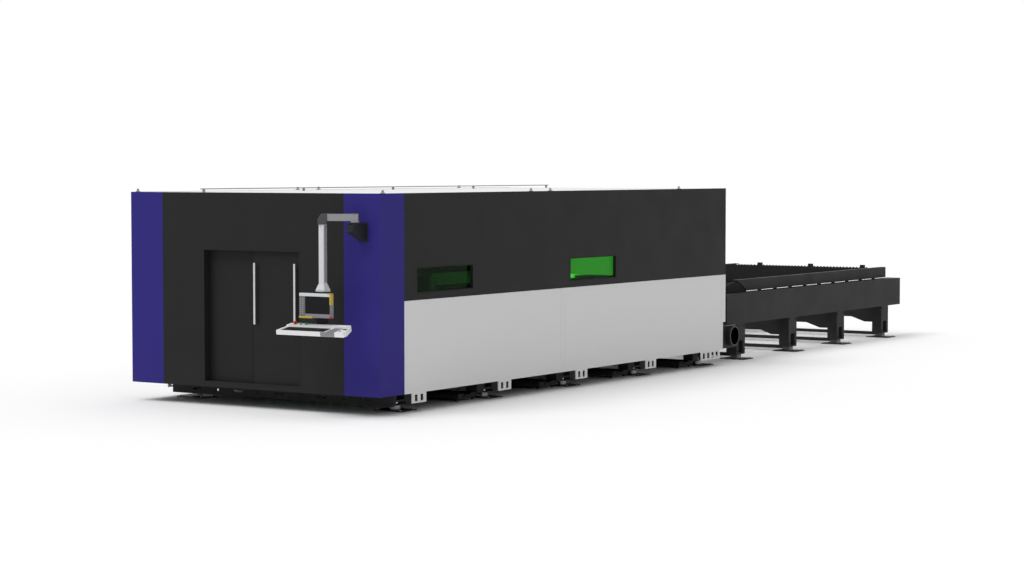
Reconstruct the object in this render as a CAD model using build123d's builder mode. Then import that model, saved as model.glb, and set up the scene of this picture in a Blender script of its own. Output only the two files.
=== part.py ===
import math
import os

from build123d import *

# Fiber laser cutting machine with a closed cabin and a pallet exchange table.
# Lengths are in millimetres. X runs across the machine, +X being the side with the operator panel,
# Y runs along it from the doors to the exchange table, and Z is up from the floor.
# Places along the machine are counted from the door face. The origin is on the floor,
# under the middle of the whole machine.

# Cabin
cabin_width = 3780
cabin_length = 8540
cabin_height = 2577
panel_bottom = 232
belt_height = 1325
sheet = 3
panel_depth = 40
tube_size = 80
tube_wall = 5
column_front_width = 510
column_side_width = 488
panel_seam = 4015
seam_gap = 2
notch_length = 75
notch_high = 630
roof_thickness = 30
roof_sheets = 4
roof_drop = 2
rail_clearance = 8
roof_rail_x = 1000
roof_rail_rise = 45
roof_rail_size = 12
roof_rail_inset = 260
stand_inset = 300
stand_length = 40

# Door opening and the two leaves that pass each other
opening_half_width = 723
opening_sill = 302
opening_head = 1885
leaf_thickness = 35
front_leaf_depth = 60
leaf_gap = 10
leaf_lap = 25
track_height = 42
track_lap = 40
slide_gap = 0.3
handle_width = 28
handle_thickness = 14
handle_back = 28
standoff_inset = 50
handle_low = 1010
handle_high = 1743
handle_places = (36, 640)

# Windows of laser-safe glass
window_starts = (760, 4200)
window_length = 1157
window_low = 1415
window_high = 1693
glass_thickness = 8
glass_lap = 18

# Machine bed
bed_half_width = 1610
girder_width = 160
girder_wall = 12
girder_low = 250
girder_high = 980
bed_start = 550
bed_clearance = 30
leg_first = 800
leg_pitch = 1880
leg_count = 5
leg_length = 500
leg_low = 108
leg_base_plate = 24
leg_cut_width = 160
foot_plate_thickness = 12
foot_plate_length = 320
foot_plate_width = 400
pad_radius = 110
pad_height = 42
pad_taper = 35
stud_radius = 24
cross_member_size = 200
cross_member_low = 300
end_plate_half_width = 1700
end_plate_low = 70
end_plate_high = 420
end_plate_thickness = 20
end_hole_height = 62
end_hole_radius = 20
end_hole_pitch = 650
end_slot_length = 150
end_slot_width = 26
rear_plate_high = 670

# Runways and pallets
runway_outer = 1450
runway_depth = 90
runway_wall = 8
upper_runway_low = 1043
upper_runway_height = 136
runway_lip_low = 1003
runway_slant = 355
lower_shelf_top = 763
lower_shelf_height = 70
runway_lead = 250
runway_tail = 160
pallet_half_width = 1300
pallet_length = 5520
pallet_rear = 15420
pallet_travel = 7600
pallet_clearance = 85
pallet_rail_width = 60
pallet_rail_height = 70
upper_pallet_low = 1050
lower_pallet_low = 770
pallet_wall = 5
slat_height = 65
slat_thickness = 5
slat_pitch = 276
slat_first = 90
slat_margin = 260
tooth_pitch = 125
tooth_height = 28
slat_half_length = 1280
wheel_radius = 40
wheel_width = 40
wheel_inset = 400
wheel_start = 1372
axle_radius = 15
axle_overhang = 6
running_gap = 0.05
pallet_cross_count = 5
stop_block_pitch = 985
stop_block_length = 75
stop_block_width = 60
stop_block_rise = 15
stop_block_inset = 40

# Exchange table
table_start = 9140
table_end = 15580
beam_outer = 1600
beam_depth = 240
beam_low = 533
beam_high = 986
beam_wall = 10
portal_places = (9600, 11380, 13160, 14940)
portal_leg_width = 170
portal_leg_length = 280
portal_leg_low = 72
portal_cut_low = 90
portal_cut_high = 278
portal_cut_width = 140
portal_web_thickness = 60
portal_web_high = 700
web_middle_low = 335
web_side_low = 255
web_middle_half = 1000
web_slope_end = 1240
portal_chamfer = 45
tie_low = 40
tie_height = 50
tie_width = 60
foot_block_width = 120
upper_runway_start = 9755
upper_runway_end = 15305
post_pitch = 535
post_width = 45
post_margin = 400
last_post_inset = 450
bed_post_length = 80
bed_post_lap = 150

# Gantry
guide_centre = 1540
guide_width = 45
guide_height = 40
rack_width = 30
rack_height = 30
rack_inset = 10
rack_clearance = 8
guide_start = 700
guide_end = 8330
gantry_place = 1300
saddle_length = 520
saddle_width = 150
saddle_low = 990
saddle_high = 1255
gantry_beam_height = 340
gantry_beam_depth = 300
gantry_beam_wall = 10
gantry_beam_half = 1560
beam_guide_width = 34
beam_guide_depth = 20
beam_guide_inset = 45
motor_radius = 65
motor_base_height = 97
motor_height = 290
motor_flat = 6
motor_step = 8
motor_gap = 5
carriage_width = 320
carriage_thickness = 55
carriage_overlap = 25
head_plate_width = 190
head_plate_thickness = 25
head_plate_height = 430
head_radius = 62
head_top = 1730
head_low = 1385
clamp_low = 90
clamp_high = 210
head_cone_drop = 25
head_cone_rise = 30
head_cone_radius = 34
head_shoulder_drop = 70
head_neck_drop = 40
head_neck_radius = 37
nozzle_tip = 1290
nozzle_tip_radius = 9
nozzle_bore_radius = 3
nozzle_radius = 28
nozzle_rim = 20

# Operator panel on its swing arm
pivot_x = 1664
pivot_reach = 165
column_x = 1345
column_reach = 350
arm_size = 80
arm_low = 2265
bracket_top = 2247
bracket_low = 2061
bracket_width = 100
flange_thickness = 18
flange_radius = 60
gusset_width = 60
gusset_foot = 10
gusset_overreach = 55
gusset_tip = 22
hub_radius = 52
arm_lap = 12
elbow_radius = 58
elbow_low = 2224
elbow_round = 22
column_size = 75
column_corner = 14
column_low = 1542
flare_low = 1455
flare_size = 128
flare_lip = 8
flare_base = 20
display_left = 1093
display_right = 1572
display_low = 1159
display_high = 1438
display_reach = 470
display_thickness = 62
display_corner = 10
screen_left = 1180
screen_right = 1533
screen_low = 1205
screen_high = 1403
screen_recess = 6
screen_thickness = 4
neck_width = 150
neck_depth = 40
neck_lap = 40
neck_collar_inset = 22
neck_foot_drop = 60
neck_foot_depth = 20
tray_reach = 670
tray_left = 911
tray_right = 1771
tray_front_height = 1017
tray_depth = 290
tray_thickness = 52
tray_tilt = 10.5
tray_strip_depth = 92
tray_strip_rise = 14
keyboard_depth = 165
keyboard_width = 610
keyboard_thickness = 20
keyboard_inset = 55
keyboard_front = 20
keyboard_side_gap = 8
keyboard_end_gap = 4
keyboard_base = 14
key_rows = 5
key_row_pitch = 30
key_row_depth = 22
key_row_inset = 12
key_height = 5
hand_unit_reach = 100
hand_unit_front = 60
stop_x = 1008
stop_radius = 19
stop_height = 16
stop_press = 8
green_pitch = 78
green_radius = 12
green_height = 8
green_press = 5
button_stem = 7
button_chamfer = 3

# Slag drawers, dust duct and skirt
drawer_length = 1420
drawer_width = 400
drawer_low = 35
drawer_height = 60
drawer_wall = 4
drawer_gap = 30
drawer_foot = 15
drawer_foot_inset = 45
drawer_foot_edge = 30
drawer_overhang = 10
drawer_notch_length = 140
drawer_notch_width = 30
duct_inner = 1460
duct_outer = 1640
duct_low = 200
duct_high = 530
duct_end = 9340
port_place = 9165
port_height = 380
port_radius = 130
port_wall = 14
port_reach = 80
bracket_bar = 20
bracket_tooth = 58
bracket_plate = 12
skirt_low = 112
skirt_length = 290
skirt_first = 644
skirt_pitch = 1850
skirt_count = 4
wide_skirt_start = 7800

# Derived sizes
half_width = cabin_width / 2
front_y = (tray_reach - table_end) / 2
inner_face = half_width - panel_depth
post_inner = inner_face - tube_size
roof_high = cabin_height - roof_drop
roof_low = roof_high - roof_thickness
top_rail_low = roof_low - tube_size
base_rail_low = panel_bottom + rail_clearance
base_rail_high = base_rail_low + tube_size
rear_leaf_depth = front_leaf_depth + leaf_thickness + leaf_gap
track_depth = rear_leaf_depth + leaf_thickness + leaf_gap
sill_track_high = base_rail_low + track_height
leaf_low = sill_track_high + slide_gap
leaf_high = opening_head + leaf_lap
head_track_low = leaf_high + slide_gap
girder_inner = bed_half_width - girder_width
leg_places = [leg_first + number * leg_pitch for number in range(leg_count)]
bed_end = leg_places[-1] + leg_length / 2
pallet_front = pallet_rear - pallet_length
upper_wheel_height = upper_runway_low + runway_wall + wheel_radius + slide_gap
lower_wheel_height = lower_shelf_top + wheel_radius + slide_gap
saddle_outer = guide_centre + saddle_width / 2
carriage_face = gantry_place - gantry_beam_depth / 2
head_axis = carriage_face - beam_guide_depth - carriage_thickness - head_plate_thickness - head_radius


def across(y):
    """Upright plane across the machine, y behind the door face, seen from the doors."""
    return Plane(origin=(0, front_y + y, 0), x_dir=(1, 0, 0), z_dir=(0, -1, 0))


def along(x):
    """Upright plane along the machine at x, with its first axis running from the doors back."""
    return Plane(origin=(x, front_y, 0), x_dir=(0, 1, 0), z_dir=(1, 0, 0))


def level(z):
    """Flat plane at height z, with its second axis running from the doors back."""
    return Plane(origin=(0, front_y, z))


def area(u0, v0, u1, v1, mode=Mode.ADD):
    """Rectangle between two corners of the sketch plane."""
    with Locations(((u0 + u1) / 2, (v0 + v1) / 2)):
        Rectangle(u1 - u0, v1 - v0, mode=mode)


def save(part, name):
    """Label a finished piece and write its file."""
    part.label = name
    export_step(part, f"parts/{name}.step")


os.makedirs("parts", exist_ok=True)

# Machine bed: two hollow side girders
with BuildPart() as bed_girders:
    with BuildSketch(across(bed_start)):
        area(girder_inner, girder_low, bed_half_width, girder_high)
        area(
            girder_inner + girder_wall,
            girder_low + girder_wall,
            bed_half_width - girder_wall,
            girder_high - girder_wall,
            mode=Mode.SUBTRACT,
        )
    extrude(amount=-(bed_end - bed_start))
    mirror(about=Plane.YZ)
save(bed_girders.part, "bed_girders")

# Bed legs: welded blocks with a rectangular opening through each
with BuildPart() as bed_legs:
    with BuildSketch(along(bed_half_width)):
        for place in leg_places:
            area(place - leg_length / 2, leg_low, place + leg_length / 2, girder_low)
            area(
                place - leg_cut_width / 2,
                leg_low + leg_base_plate,
                place + leg_cut_width / 2,
                girder_low - girder_wall,
                mode=Mode.SUBTRACT,
            )
    extrude(amount=-girder_width)
    mirror(about=Plane.YZ)
save(bed_legs.part, "bed_legs")

# Cross members between the girders and an end plate at each end of the bed,
# the front one with bolt holes and slots near its lower edge
with BuildPart() as bed_cross_members:
    with BuildSketch(along(girder_inner)):
        for place in leg_places:
            with Locations((place, cross_member_low + cross_member_size / 2)):
                Rectangle(cross_member_size, cross_member_size)
                Rectangle(
                    cross_member_size - 2 * girder_wall,
                    cross_member_size - 2 * girder_wall,
                    mode=Mode.SUBTRACT,
                )
    extrude(amount=-2 * girder_inner)
    with BuildSketch(across(bed_start)):
        area(-end_plate_half_width, end_plate_low, end_plate_half_width, end_plate_high)
        with Locations((0, end_plate_low + end_hole_height)):
            with GridLocations(end_hole_pitch, 1, 4, 1):
                Circle(end_hole_radius, mode=Mode.SUBTRACT)
            with GridLocations(end_hole_pitch, 1, 5, 1):
                SlotOverall(end_slot_length, end_slot_width, mode=Mode.SUBTRACT)
    extrude(amount=end_plate_thickness)
    with BuildSketch(across(bed_end)):
        area(-girder_inner, girder_low, girder_inner, rear_plate_high)
    extrude(amount=-end_plate_thickness)
save(bed_cross_members.part, "bed_cross_members")

# Plates on the floor under every leg of the bed and the table
with BuildPart() as foot_plates:
    with BuildSketch(level(0)):
        for place in leg_places + list(portal_places):
            with Locations(
                (bed_half_width - girder_width / 2, place),
                (girder_width / 2 - bed_half_width, place),
            ):
                Rectangle(foot_plate_width, foot_plate_length)
    extrude(amount=foot_plate_thickness)
save(foot_plates.part, "foot_plates")

# Levelling pads of the bed: a low dome on the plate and a stud up to the leg
with BuildPart() as levelling_pads:
    pad_centres = [(bed_half_width - girder_width / 2, place) for place in leg_places]
    with BuildSketch(level(foot_plate_thickness)):
        with Locations(*pad_centres):
            Circle(pad_radius)
    extrude(amount=pad_height, taper=pad_taper)
    with BuildSketch(level(foot_plate_thickness)):
        with Locations(*pad_centres):
            RegularPolygon(stud_radius, 6)
    extrude(amount=leg_low - foot_plate_thickness)
    mirror(about=Plane.YZ)
save(levelling_pads.part, "levelling_pads")

# Cabin frame: square tube posts between the base rails and the top rails
post_places = (
    track_depth + tube_size / 2,
    column_side_width,
    (column_side_width + panel_seam) / 2,
    panel_seam,
    (panel_seam + cabin_length) / 2,
    cabin_length - tube_size / 2,
)
with BuildPart() as cabin_posts:
    with BuildSketch(level(base_rail_high)):
        for place in post_places:
            with Locations((inner_face - tube_size / 2, place)):
                Rectangle(tube_size, tube_size)
                Rectangle(tube_size - 2 * tube_wall, tube_size - 2 * tube_wall, mode=Mode.SUBTRACT)
    extrude(amount=top_rail_low - base_rail_high)
    mirror(about=Plane.YZ)
save(cabin_posts.part, "cabin_posts")

# Cabin rails: base and top tubes along both sides
with BuildPart() as cabin_rails:
    with BuildSketch(across(track_depth)):
        for low in (base_rail_low, top_rail_low):
            area(post_inner, low, inner_face, low + tube_size)
            area(
                post_inner + tube_wall,
                low + tube_wall,
                inner_face - tube_wall,
                low + tube_size - tube_wall,
                mode=Mode.SUBTRACT,
            )
    extrude(amount=-(cabin_length - track_depth))
    mirror(about=Plane.YZ)
save(cabin_rails.part, "cabin_rails")

# Cabin cross tubes: under the roof, under and over the doors, and short outriggers to the bed
with BuildPart() as cabin_cross_tubes:
    cross_lines = [(post_places[number], top_rail_low) for number in (0, 3, 5)]
    cross_lines += [(post_places[0], base_rail_low), (post_places[0], head_track_low)]
    with BuildSketch(along(post_inner)):
        for place, low in cross_lines:
            with Locations((place, low + tube_size / 2)):
                Rectangle(tube_size, tube_size)
                Rectangle(tube_size - 2 * tube_wall, tube_size - 2 * tube_wall, mode=Mode.SUBTRACT)
    extrude(amount=-2 * post_inner)
    with BuildSketch(along(bed_half_width)):
        for place in leg_places:
            with Locations((place, girder_low + tube_size / 2)):
                Rectangle(tube_size, tube_size - 2 * tube_wall)
    outriggers = extrude(amount=post_inner - bed_half_width)
    mirror(outriggers, about=Plane.YZ)
save(cabin_cross_tubes.part, "cabin_cross_tubes")

# Corner columns: folded sheet round both front corners, open to the inside
with BuildPart() as corner_columns:
    side_start = half_width - column_front_width
    with BuildSketch(level(panel_bottom)):
        area(side_start, 0, half_width, panel_depth)
        area(inner_face, 0, half_width, column_side_width)
    extrude(amount=cabin_height - panel_bottom)
    with BuildSketch(level(panel_bottom + sheet)):
        area(side_start + sheet, sheet, half_width - sheet, panel_depth)
        area(inner_face, sheet, half_width - sheet, column_side_width - sheet)
    extrude(amount=cabin_height - panel_bottom - 2 * sheet, mode=Mode.SUBTRACT)
    mirror(about=Plane.YZ)
save(corner_columns.part, "corner_columns")

# Front panel: folded sheet with the door opening, its left edge folded back to the rear leaf
with BuildPart() as front_panel:
    panel_half = half_width - column_front_width
    with BuildSketch(across(0)):
        area(-panel_half, panel_bottom, panel_half, cabin_height)
        area(-opening_half_width, opening_sill, opening_half_width, opening_head, mode=Mode.SUBTRACT)
    extrude(amount=-panel_depth)
    with BuildSketch(across(sheet)):
        area(-panel_half + sheet, panel_bottom + sheet, panel_half - sheet, cabin_height - sheet)
        area(
            -opening_half_width - sheet,
            opening_sill - sheet,
            opening_half_width + sheet,
            opening_head + sheet,
            mode=Mode.SUBTRACT,
        )
    extrude(amount=-(panel_depth - sheet), mode=Mode.SUBTRACT)
    with BuildSketch(across(panel_depth)):
        area(-opening_half_width - sheet, opening_sill, -opening_half_width, opening_head)
    extrude(amount=-(rear_leaf_depth - slide_gap - panel_depth))
save(front_panel.part, "front_panel")

# Rear panel: folded sheet, open below for the bed and both pallets
bed_opening_half = bed_half_width + bed_clearance
pallet_opening_high = upper_runway_low + upper_runway_height + pallet_clearance
with BuildPart() as rear_panel:
    with BuildSketch(across(cabin_length)):
        area(-post_inner, panel_bottom, post_inner, top_rail_low)
        area(-bed_opening_half, panel_bottom, bed_opening_half, pallet_opening_high, mode=Mode.SUBTRACT)
    extrude(amount=panel_depth)
    with BuildSketch(across(cabin_length - sheet)):
        area(-post_inner + sheet, panel_bottom + sheet, post_inner - sheet, top_rail_low - sheet)
        area(
            -bed_opening_half - sheet,
            panel_bottom,
            bed_opening_half + sheet,
            pallet_opening_high + sheet,
            mode=Mode.SUBTRACT,
        )
    extrude(amount=panel_depth - sheet, mode=Mode.SUBTRACT)
save(rear_panel.part, "rear_panel")

# Upper side panels: folded sheet with two windows each
with BuildPart() as upper_side_panels:
    with BuildSketch(along(half_width)):
        area(column_side_width, belt_height, cabin_length, cabin_height)
        for start in window_starts:
            area(start, window_low, start + window_length, window_high, mode=Mode.SUBTRACT)
    extrude(amount=-panel_depth)
    with BuildSketch(along(half_width - sheet)):
        area(
            column_side_width + sheet,
            belt_height + sheet,
            cabin_length - sheet,
            cabin_height - sheet,
        )
        for start in window_starts:
            area(
                start - sheet,
                window_low - sheet,
                start + window_length + sheet,
                window_high + sheet,
                mode=Mode.SUBTRACT,
            )
    extrude(amount=-(panel_depth - sheet), mode=Mode.SUBTRACT)
    mirror(about=Plane.YZ)
save(upper_side_panels.part, "upper_side_panels")

# Lower side panels: two folded sheets a side, the rear one notched at its rear lower corner
with BuildPart() as lower_side_panels:
    with BuildSketch(along(half_width)):
        area(column_side_width, panel_bottom, panel_seam - seam_gap / 2, belt_height)
        area(panel_seam + seam_gap / 2, panel_bottom, cabin_length, belt_height)
        area(cabin_length - notch_length, panel_bottom, cabin_length, notch_high, mode=Mode.SUBTRACT)
    extrude(amount=-panel_depth)
    with BuildSketch(along(half_width - sheet)):
        area(
            column_side_width + sheet,
            panel_bottom + sheet,
            panel_seam - seam_gap / 2 - sheet,
            belt_height - sheet,
        )
        area(
            panel_seam + seam_gap / 2 + sheet,
            panel_bottom + sheet,
            cabin_length - notch_length - sheet,
            belt_height - sheet,
        )
        area(
            cabin_length - notch_length - 2 * sheet,
            notch_high + sheet,
            cabin_length - sheet,
            belt_height - sheet,
        )
    extrude(amount=-(panel_depth - sheet), mode=Mode.SUBTRACT)
    mirror(about=Plane.YZ)
save(lower_side_panels.part, "lower_side_panels")

# Window panes, seated on the back of each window's fold
with BuildPart() as window_glass:
    with BuildSketch(along(inner_face)):
        for start in window_starts:
            area(
                start - glass_lap,
                window_low - glass_lap,
                start + window_length + glass_lap,
                window_high + glass_lap,
            )
    extrude(amount=-glass_thickness)
    mirror(about=Plane.YZ)
save(window_glass.part, "window_glass")

# Skirt brackets: comb plates that hang under the lower panels, the last one twice as long
skirts = [(skirt_first + number * skirt_pitch, 2) for number in range(skirt_count)]
skirts.append((wide_skirt_start, 4))
with BuildPart() as skirt_brackets:
    with BuildSketch(along(half_width - sheet)):
        for start, bays in skirts:
            length = skirt_length * bays / 2
            area(start, skirt_low, start + length, panel_bottom)
            bay = (length - bracket_tooth) / bays
            for number in range(bays):
                left = start + bracket_tooth + number * bay
                area(
                    left,
                    skirt_low + bracket_bar,
                    left + bay - bracket_tooth,
                    panel_bottom - bracket_bar,
                    mode=Mode.SUBTRACT,
                )
    extrude(amount=-bracket_plate)
    mirror(about=Plane.YZ)
save(skirt_brackets.part, "skirt_brackets")

# Roof: folded sheets side by side, resting on the top rails
roof_pitch = (cabin_length - 2 * panel_depth) / roof_sheets
with BuildPart() as roof_panels:
    with BuildSketch(level(roof_low)):
        for number in range(roof_sheets):
            start = panel_depth + number * roof_pitch
            area(-inner_face, start, inner_face, start + roof_pitch - sheet)
    extrude(amount=roof_thickness)
    with BuildSketch(level(roof_low)):
        for number in range(roof_sheets):
            start = panel_depth + number * roof_pitch
            area(
                -inner_face + sheet,
                start + sheet,
                inner_face - sheet,
                start + roof_pitch - 2 * sheet,
            )
    extrude(amount=roof_thickness - sheet, mode=Mode.SUBTRACT)
save(roof_panels.part, "roof_panels")

# Roof rail: a thin rail on short stands, beside the middle of the roof
with BuildPart() as roof_rail:
    with BuildSketch(along(-roof_rail_x)):
        area(
            roof_rail_inset,
            roof_high + roof_rail_rise - roof_rail_size,
            cabin_length - roof_rail_inset,
            roof_high + roof_rail_rise,
        )
        stand_pitch = (cabin_length - 2 * stand_inset - stand_length) / roof_sheets
        for number in range(roof_sheets + 1):
            stand = stand_inset + number * stand_pitch
            area(stand, roof_high, stand + stand_length, roof_high + roof_rail_rise)
    extrude(amount=roof_rail_size)
save(roof_rail.part, "roof_rail")

# Door tracks: grooved bars above and below the leaves
with BuildPart() as door_tracks:
    with BuildSketch(across(panel_depth)):
        for low, high in (
            (base_rail_low, sill_track_high),
            (head_track_low, head_track_low + track_height),
        ):
            area(-opening_half_width - track_lap, low, opening_half_width + track_lap, high)
    extrude(amount=-(track_depth - panel_depth))
save(door_tracks.part, "door_tracks")

# Door leaves: closed sheet leaves, the right one running in front
with BuildPart() as door_left:
    with BuildSketch(across(rear_leaf_depth)):
        area(-opening_half_width - leaf_lap, leaf_low, leaf_lap, leaf_high)
    extrude(amount=-leaf_thickness)
save(door_left.part, "door_left")

with BuildPart() as door_right:
    with BuildSketch(across(front_leaf_depth)):
        area(-leaf_lap, leaf_low, opening_half_width + leaf_lap, leaf_high)
    extrude(amount=-leaf_thickness)
save(door_right.part, "door_right")

# Door handles: two flat bars on round standoffs, both on the right leaf
with BuildPart() as door_handles:
    with BuildSketch(across(front_leaf_depth)):
        for place in handle_places:
            with Locations((place, handle_low + standoff_inset), (place, handle_high - standoff_inset)):
                Circle(handle_thickness / 2)
    extrude(amount=front_leaf_depth - handle_back)
    with BuildSketch(across(handle_back)):
        for place in handle_places:
            area(place - handle_width / 2, handle_low, place + handle_width / 2, handle_high)
    extrude(amount=handle_thickness)
save(door_handles.part, "door_handles")

# Guideways on the bed: one rail and one rack a side
with BuildPart() as gantry_guideways:
    with BuildSketch(across(guide_start)):
        area(
            guide_centre - guide_width / 2,
            girder_high,
            guide_centre + guide_width / 2,
            girder_high + guide_height,
        )
        area(
            girder_inner + rack_inset,
            girder_high,
            girder_inner + rack_inset + rack_width,
            girder_high + rack_height,
        )
    extrude(amount=-(guide_end - guide_start))
    mirror(about=Plane.YZ)
save(gantry_guideways.part, "gantry_guideways")

# Upper runways: channels open towards the pallet, in the bed and on the table,
# the table's pair with a lip below and a slanted front end
with BuildPart() as upper_runways:
    runway_inner = runway_outer - runway_depth
    runway_high = upper_runway_low + upper_runway_height
    for start, end in (
        (pallet_front - pallet_travel - runway_lead, cabin_length + runway_tail),
        (upper_runway_start, upper_runway_end),
    ):
        with BuildSketch(across(start)):
            area(runway_inner, upper_runway_low, runway_outer, runway_high)
            area(
                runway_inner,
                upper_runway_low + runway_wall,
                runway_outer - runway_wall,
                runway_high - runway_wall,
                mode=Mode.SUBTRACT,
            )
        extrude(amount=-(end - start))
    with BuildSketch(across(upper_runway_start)):
        area(runway_outer - runway_wall, runway_lip_low, runway_outer, upper_runway_low)
    extrude(amount=-(upper_runway_end - upper_runway_start))
    with BuildSketch(along(runway_outer)):
        with BuildLine():
            Polyline(
                (upper_runway_start, runway_high),
                (upper_runway_start, runway_lip_low),
                (upper_runway_start + runway_slant, runway_lip_low),
                close=True,
            )
        make_face()
    extrude(amount=-runway_depth, mode=Mode.SUBTRACT)
    mirror(about=Plane.YZ)
save(upper_runways.part, "upper_runways")

# Posts that carry the upper runways: on the table's beams and on the bed
with BuildPart() as runway_posts:
    table_posts = int((upper_runway_end - upper_runway_start - post_margin) / post_pitch)
    post_line = runway_outer - runway_wall - post_width / 2
    with BuildSketch(level(beam_high)):
        for number in range(table_posts):
            with Locations((post_line, upper_runway_end - last_post_inset - number * post_pitch)):
                Rectangle(post_width, post_width)
    extrude(amount=upper_runway_low - beam_high)
    with BuildSketch(along(girder_inner)):
        for place in leg_places[1:]:
            area(
                place - bed_post_length / 2,
                girder_high - bed_post_lap,
                place + bed_post_length / 2,
                upper_runway_low,
            )
    extrude(amount=-runway_wall)
    mirror(about=Plane.YZ)
save(runway_posts.part, "runway_posts")

# Lower runways: angles on the bed's girders, reaching back to those inside the table's beams
with BuildPart() as lower_runways:
    for wall_face, start, end in (
        (girder_inner, pallet_front - pallet_travel - runway_lead, table_start),
        (beam_outer - beam_wall, table_start, table_end),
    ):
        with BuildSketch(across(start)):
            area(
                runway_outer - runway_depth,
                lower_shelf_top - runway_wall,
                wall_face,
                lower_shelf_top,
            )
            area(
                wall_face - runway_wall,
                lower_shelf_top - lower_shelf_height,
                wall_face,
                lower_shelf_top,
            )
        extrude(amount=-(end - start))
    mirror(about=Plane.YZ)
save(lower_runways.part, "lower_runways")

# Table side beams: deep channels open to the inside
with BuildPart() as table_beams:
    with BuildSketch(across(table_start)):
        area(beam_outer - beam_depth, beam_low, beam_outer, beam_high)
        area(
            beam_outer - beam_depth,
            beam_low + beam_wall,
            beam_outer - beam_wall,
            beam_high - beam_wall,
            mode=Mode.SUBTRACT,
        )
    extrude(amount=-(table_end - table_start))
    mirror(about=Plane.YZ)
save(table_beams.part, "table_beams")

# Portal legs of the table, each with an upright opening low in its side
portal_leg_inner = beam_outer - portal_leg_width
with BuildPart() as portal_legs:
    with BuildSketch(along(beam_outer)):
        for place in portal_places:
            area(
                place - portal_leg_length / 2,
                portal_leg_low,
                place + portal_leg_length / 2,
                beam_low,
            )
            area(
                place - portal_cut_width / 2,
                portal_cut_low,
                place + portal_cut_width / 2,
                portal_cut_high,
                mode=Mode.SUBTRACT,
            )
    extrude(amount=-portal_leg_width)
    mirror(about=Plane.YZ)
save(portal_legs.part, "portal_legs")

# Portal webs: deep plates between the legs, with a stepped lower edge
with BuildPart() as portal_webs:
    for place in portal_places:
        with BuildSketch(across(place - portal_web_thickness / 2)):
            with BuildLine():
                Polyline(
                    (-web_middle_half, web_middle_low),
                    (web_middle_half, web_middle_low),
                    (web_slope_end, web_side_low),
                    (portal_leg_inner - portal_chamfer, web_side_low),
                    (portal_leg_inner, web_side_low - portal_chamfer),
                    (portal_leg_inner, beam_low),
                    (beam_outer - beam_depth, beam_low),
                    (beam_outer - beam_depth, portal_web_high),
                    (beam_depth - beam_outer, portal_web_high),
                    (beam_depth - beam_outer, beam_low),
                    (-portal_leg_inner, beam_low),
                    (-portal_leg_inner, web_side_low - portal_chamfer),
                    (portal_chamfer - portal_leg_inner, web_side_low),
                    (-web_slope_end, web_side_low),
                    close=True,
                )
            make_face()
        extrude(amount=-portal_web_thickness)
save(portal_webs.part, "portal_webs")

# Foot blocks of the table and the low ties between them
with BuildPart() as table_foot_blocks:
    with BuildSketch(level(foot_plate_thickness)):
        for place in portal_places:
            with Locations((beam_outer - portal_leg_width / 2, place)):
                Rectangle(foot_block_width, foot_block_width)
    extrude(amount=portal_leg_low - foot_plate_thickness)
    mirror(about=Plane.YZ)
save(table_foot_blocks.part, "table_foot_blocks")

with BuildPart() as portal_ties:
    with BuildSketch(along(portal_leg_inner)):
        for place in portal_places:
            area(place - tie_width / 2, tie_low, place + tie_width / 2, tie_low + tie_height)
    extrude(amount=-2 * portal_leg_inner)
save(portal_ties.part, "portal_ties")

# Dust duct: a box that leaves the end of the right girder and turns to a round port
with BuildPart() as dust_duct:
    with BuildSketch(across(bed_end)):
        area(duct_inner, duct_low, duct_outer, duct_high)
    extrude(amount=-(duct_end - bed_end))
    with BuildSketch(across(bed_end)):
        area(duct_inner + sheet, duct_low + sheet, duct_outer - sheet, duct_high - sheet)
    extrude(amount=-(duct_end - bed_end - sheet), mode=Mode.SUBTRACT)
    with BuildSketch(along(duct_outer)):
        with Locations((port_place, port_height)):
            Circle(port_radius + port_wall)
    extrude(amount=port_reach)
    with BuildSketch(along(duct_outer - sheet)):
        with Locations((port_place, port_height)):
            Circle(port_radius)
    extrude(amount=port_reach + sheet, mode=Mode.SUBTRACT)
save(dust_duct.part, "dust_duct")

# Gantry beam: a hollow box with two guide rails on its door side
with BuildPart() as gantry_beam:
    beam_bottom = saddle_high
    beam_top = saddle_high + gantry_beam_height
    with BuildSketch(along(gantry_beam_half)):
        area(
            gantry_place - gantry_beam_depth / 2,
            beam_bottom,
            gantry_place + gantry_beam_depth / 2,
            beam_top,
        )
        area(
            gantry_place - gantry_beam_depth / 2 + gantry_beam_wall,
            beam_bottom + gantry_beam_wall,
            gantry_place + gantry_beam_depth / 2 - gantry_beam_wall,
            beam_top - gantry_beam_wall,
            mode=Mode.SUBTRACT,
        )
        for low in (beam_bottom + beam_guide_inset, beam_top - beam_guide_inset - beam_guide_width):
            area(carriage_face - beam_guide_depth, low, carriage_face, low + beam_guide_width)
    extrude(amount=-2 * gantry_beam_half)
save(gantry_beam.part, "gantry_beam")

# Saddles under both ends of the beam, each grooved over its rail and cleared over its rack
with BuildPart() as gantry_saddles:
    with BuildSketch(across(gantry_place - saddle_length / 2)):
        area(guide_centre - saddle_width / 2, saddle_low, saddle_outer, saddle_high)
        area(
            guide_centre - guide_width / 2 - slide_gap,
            saddle_low,
            guide_centre + guide_width / 2 + slide_gap,
            girder_high + guide_height + slide_gap,
            mode=Mode.SUBTRACT,
        )
        area(
            guide_centre - saddle_width / 2,
            saddle_low,
            girder_inner + rack_inset + rack_width + rack_clearance,
            girder_high + rack_height + rack_clearance,
            mode=Mode.SUBTRACT,
        )
    extrude(amount=-saddle_length)
    mirror(about=Plane.YZ)
save(gantry_saddles.part, "gantry_saddles")

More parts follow.
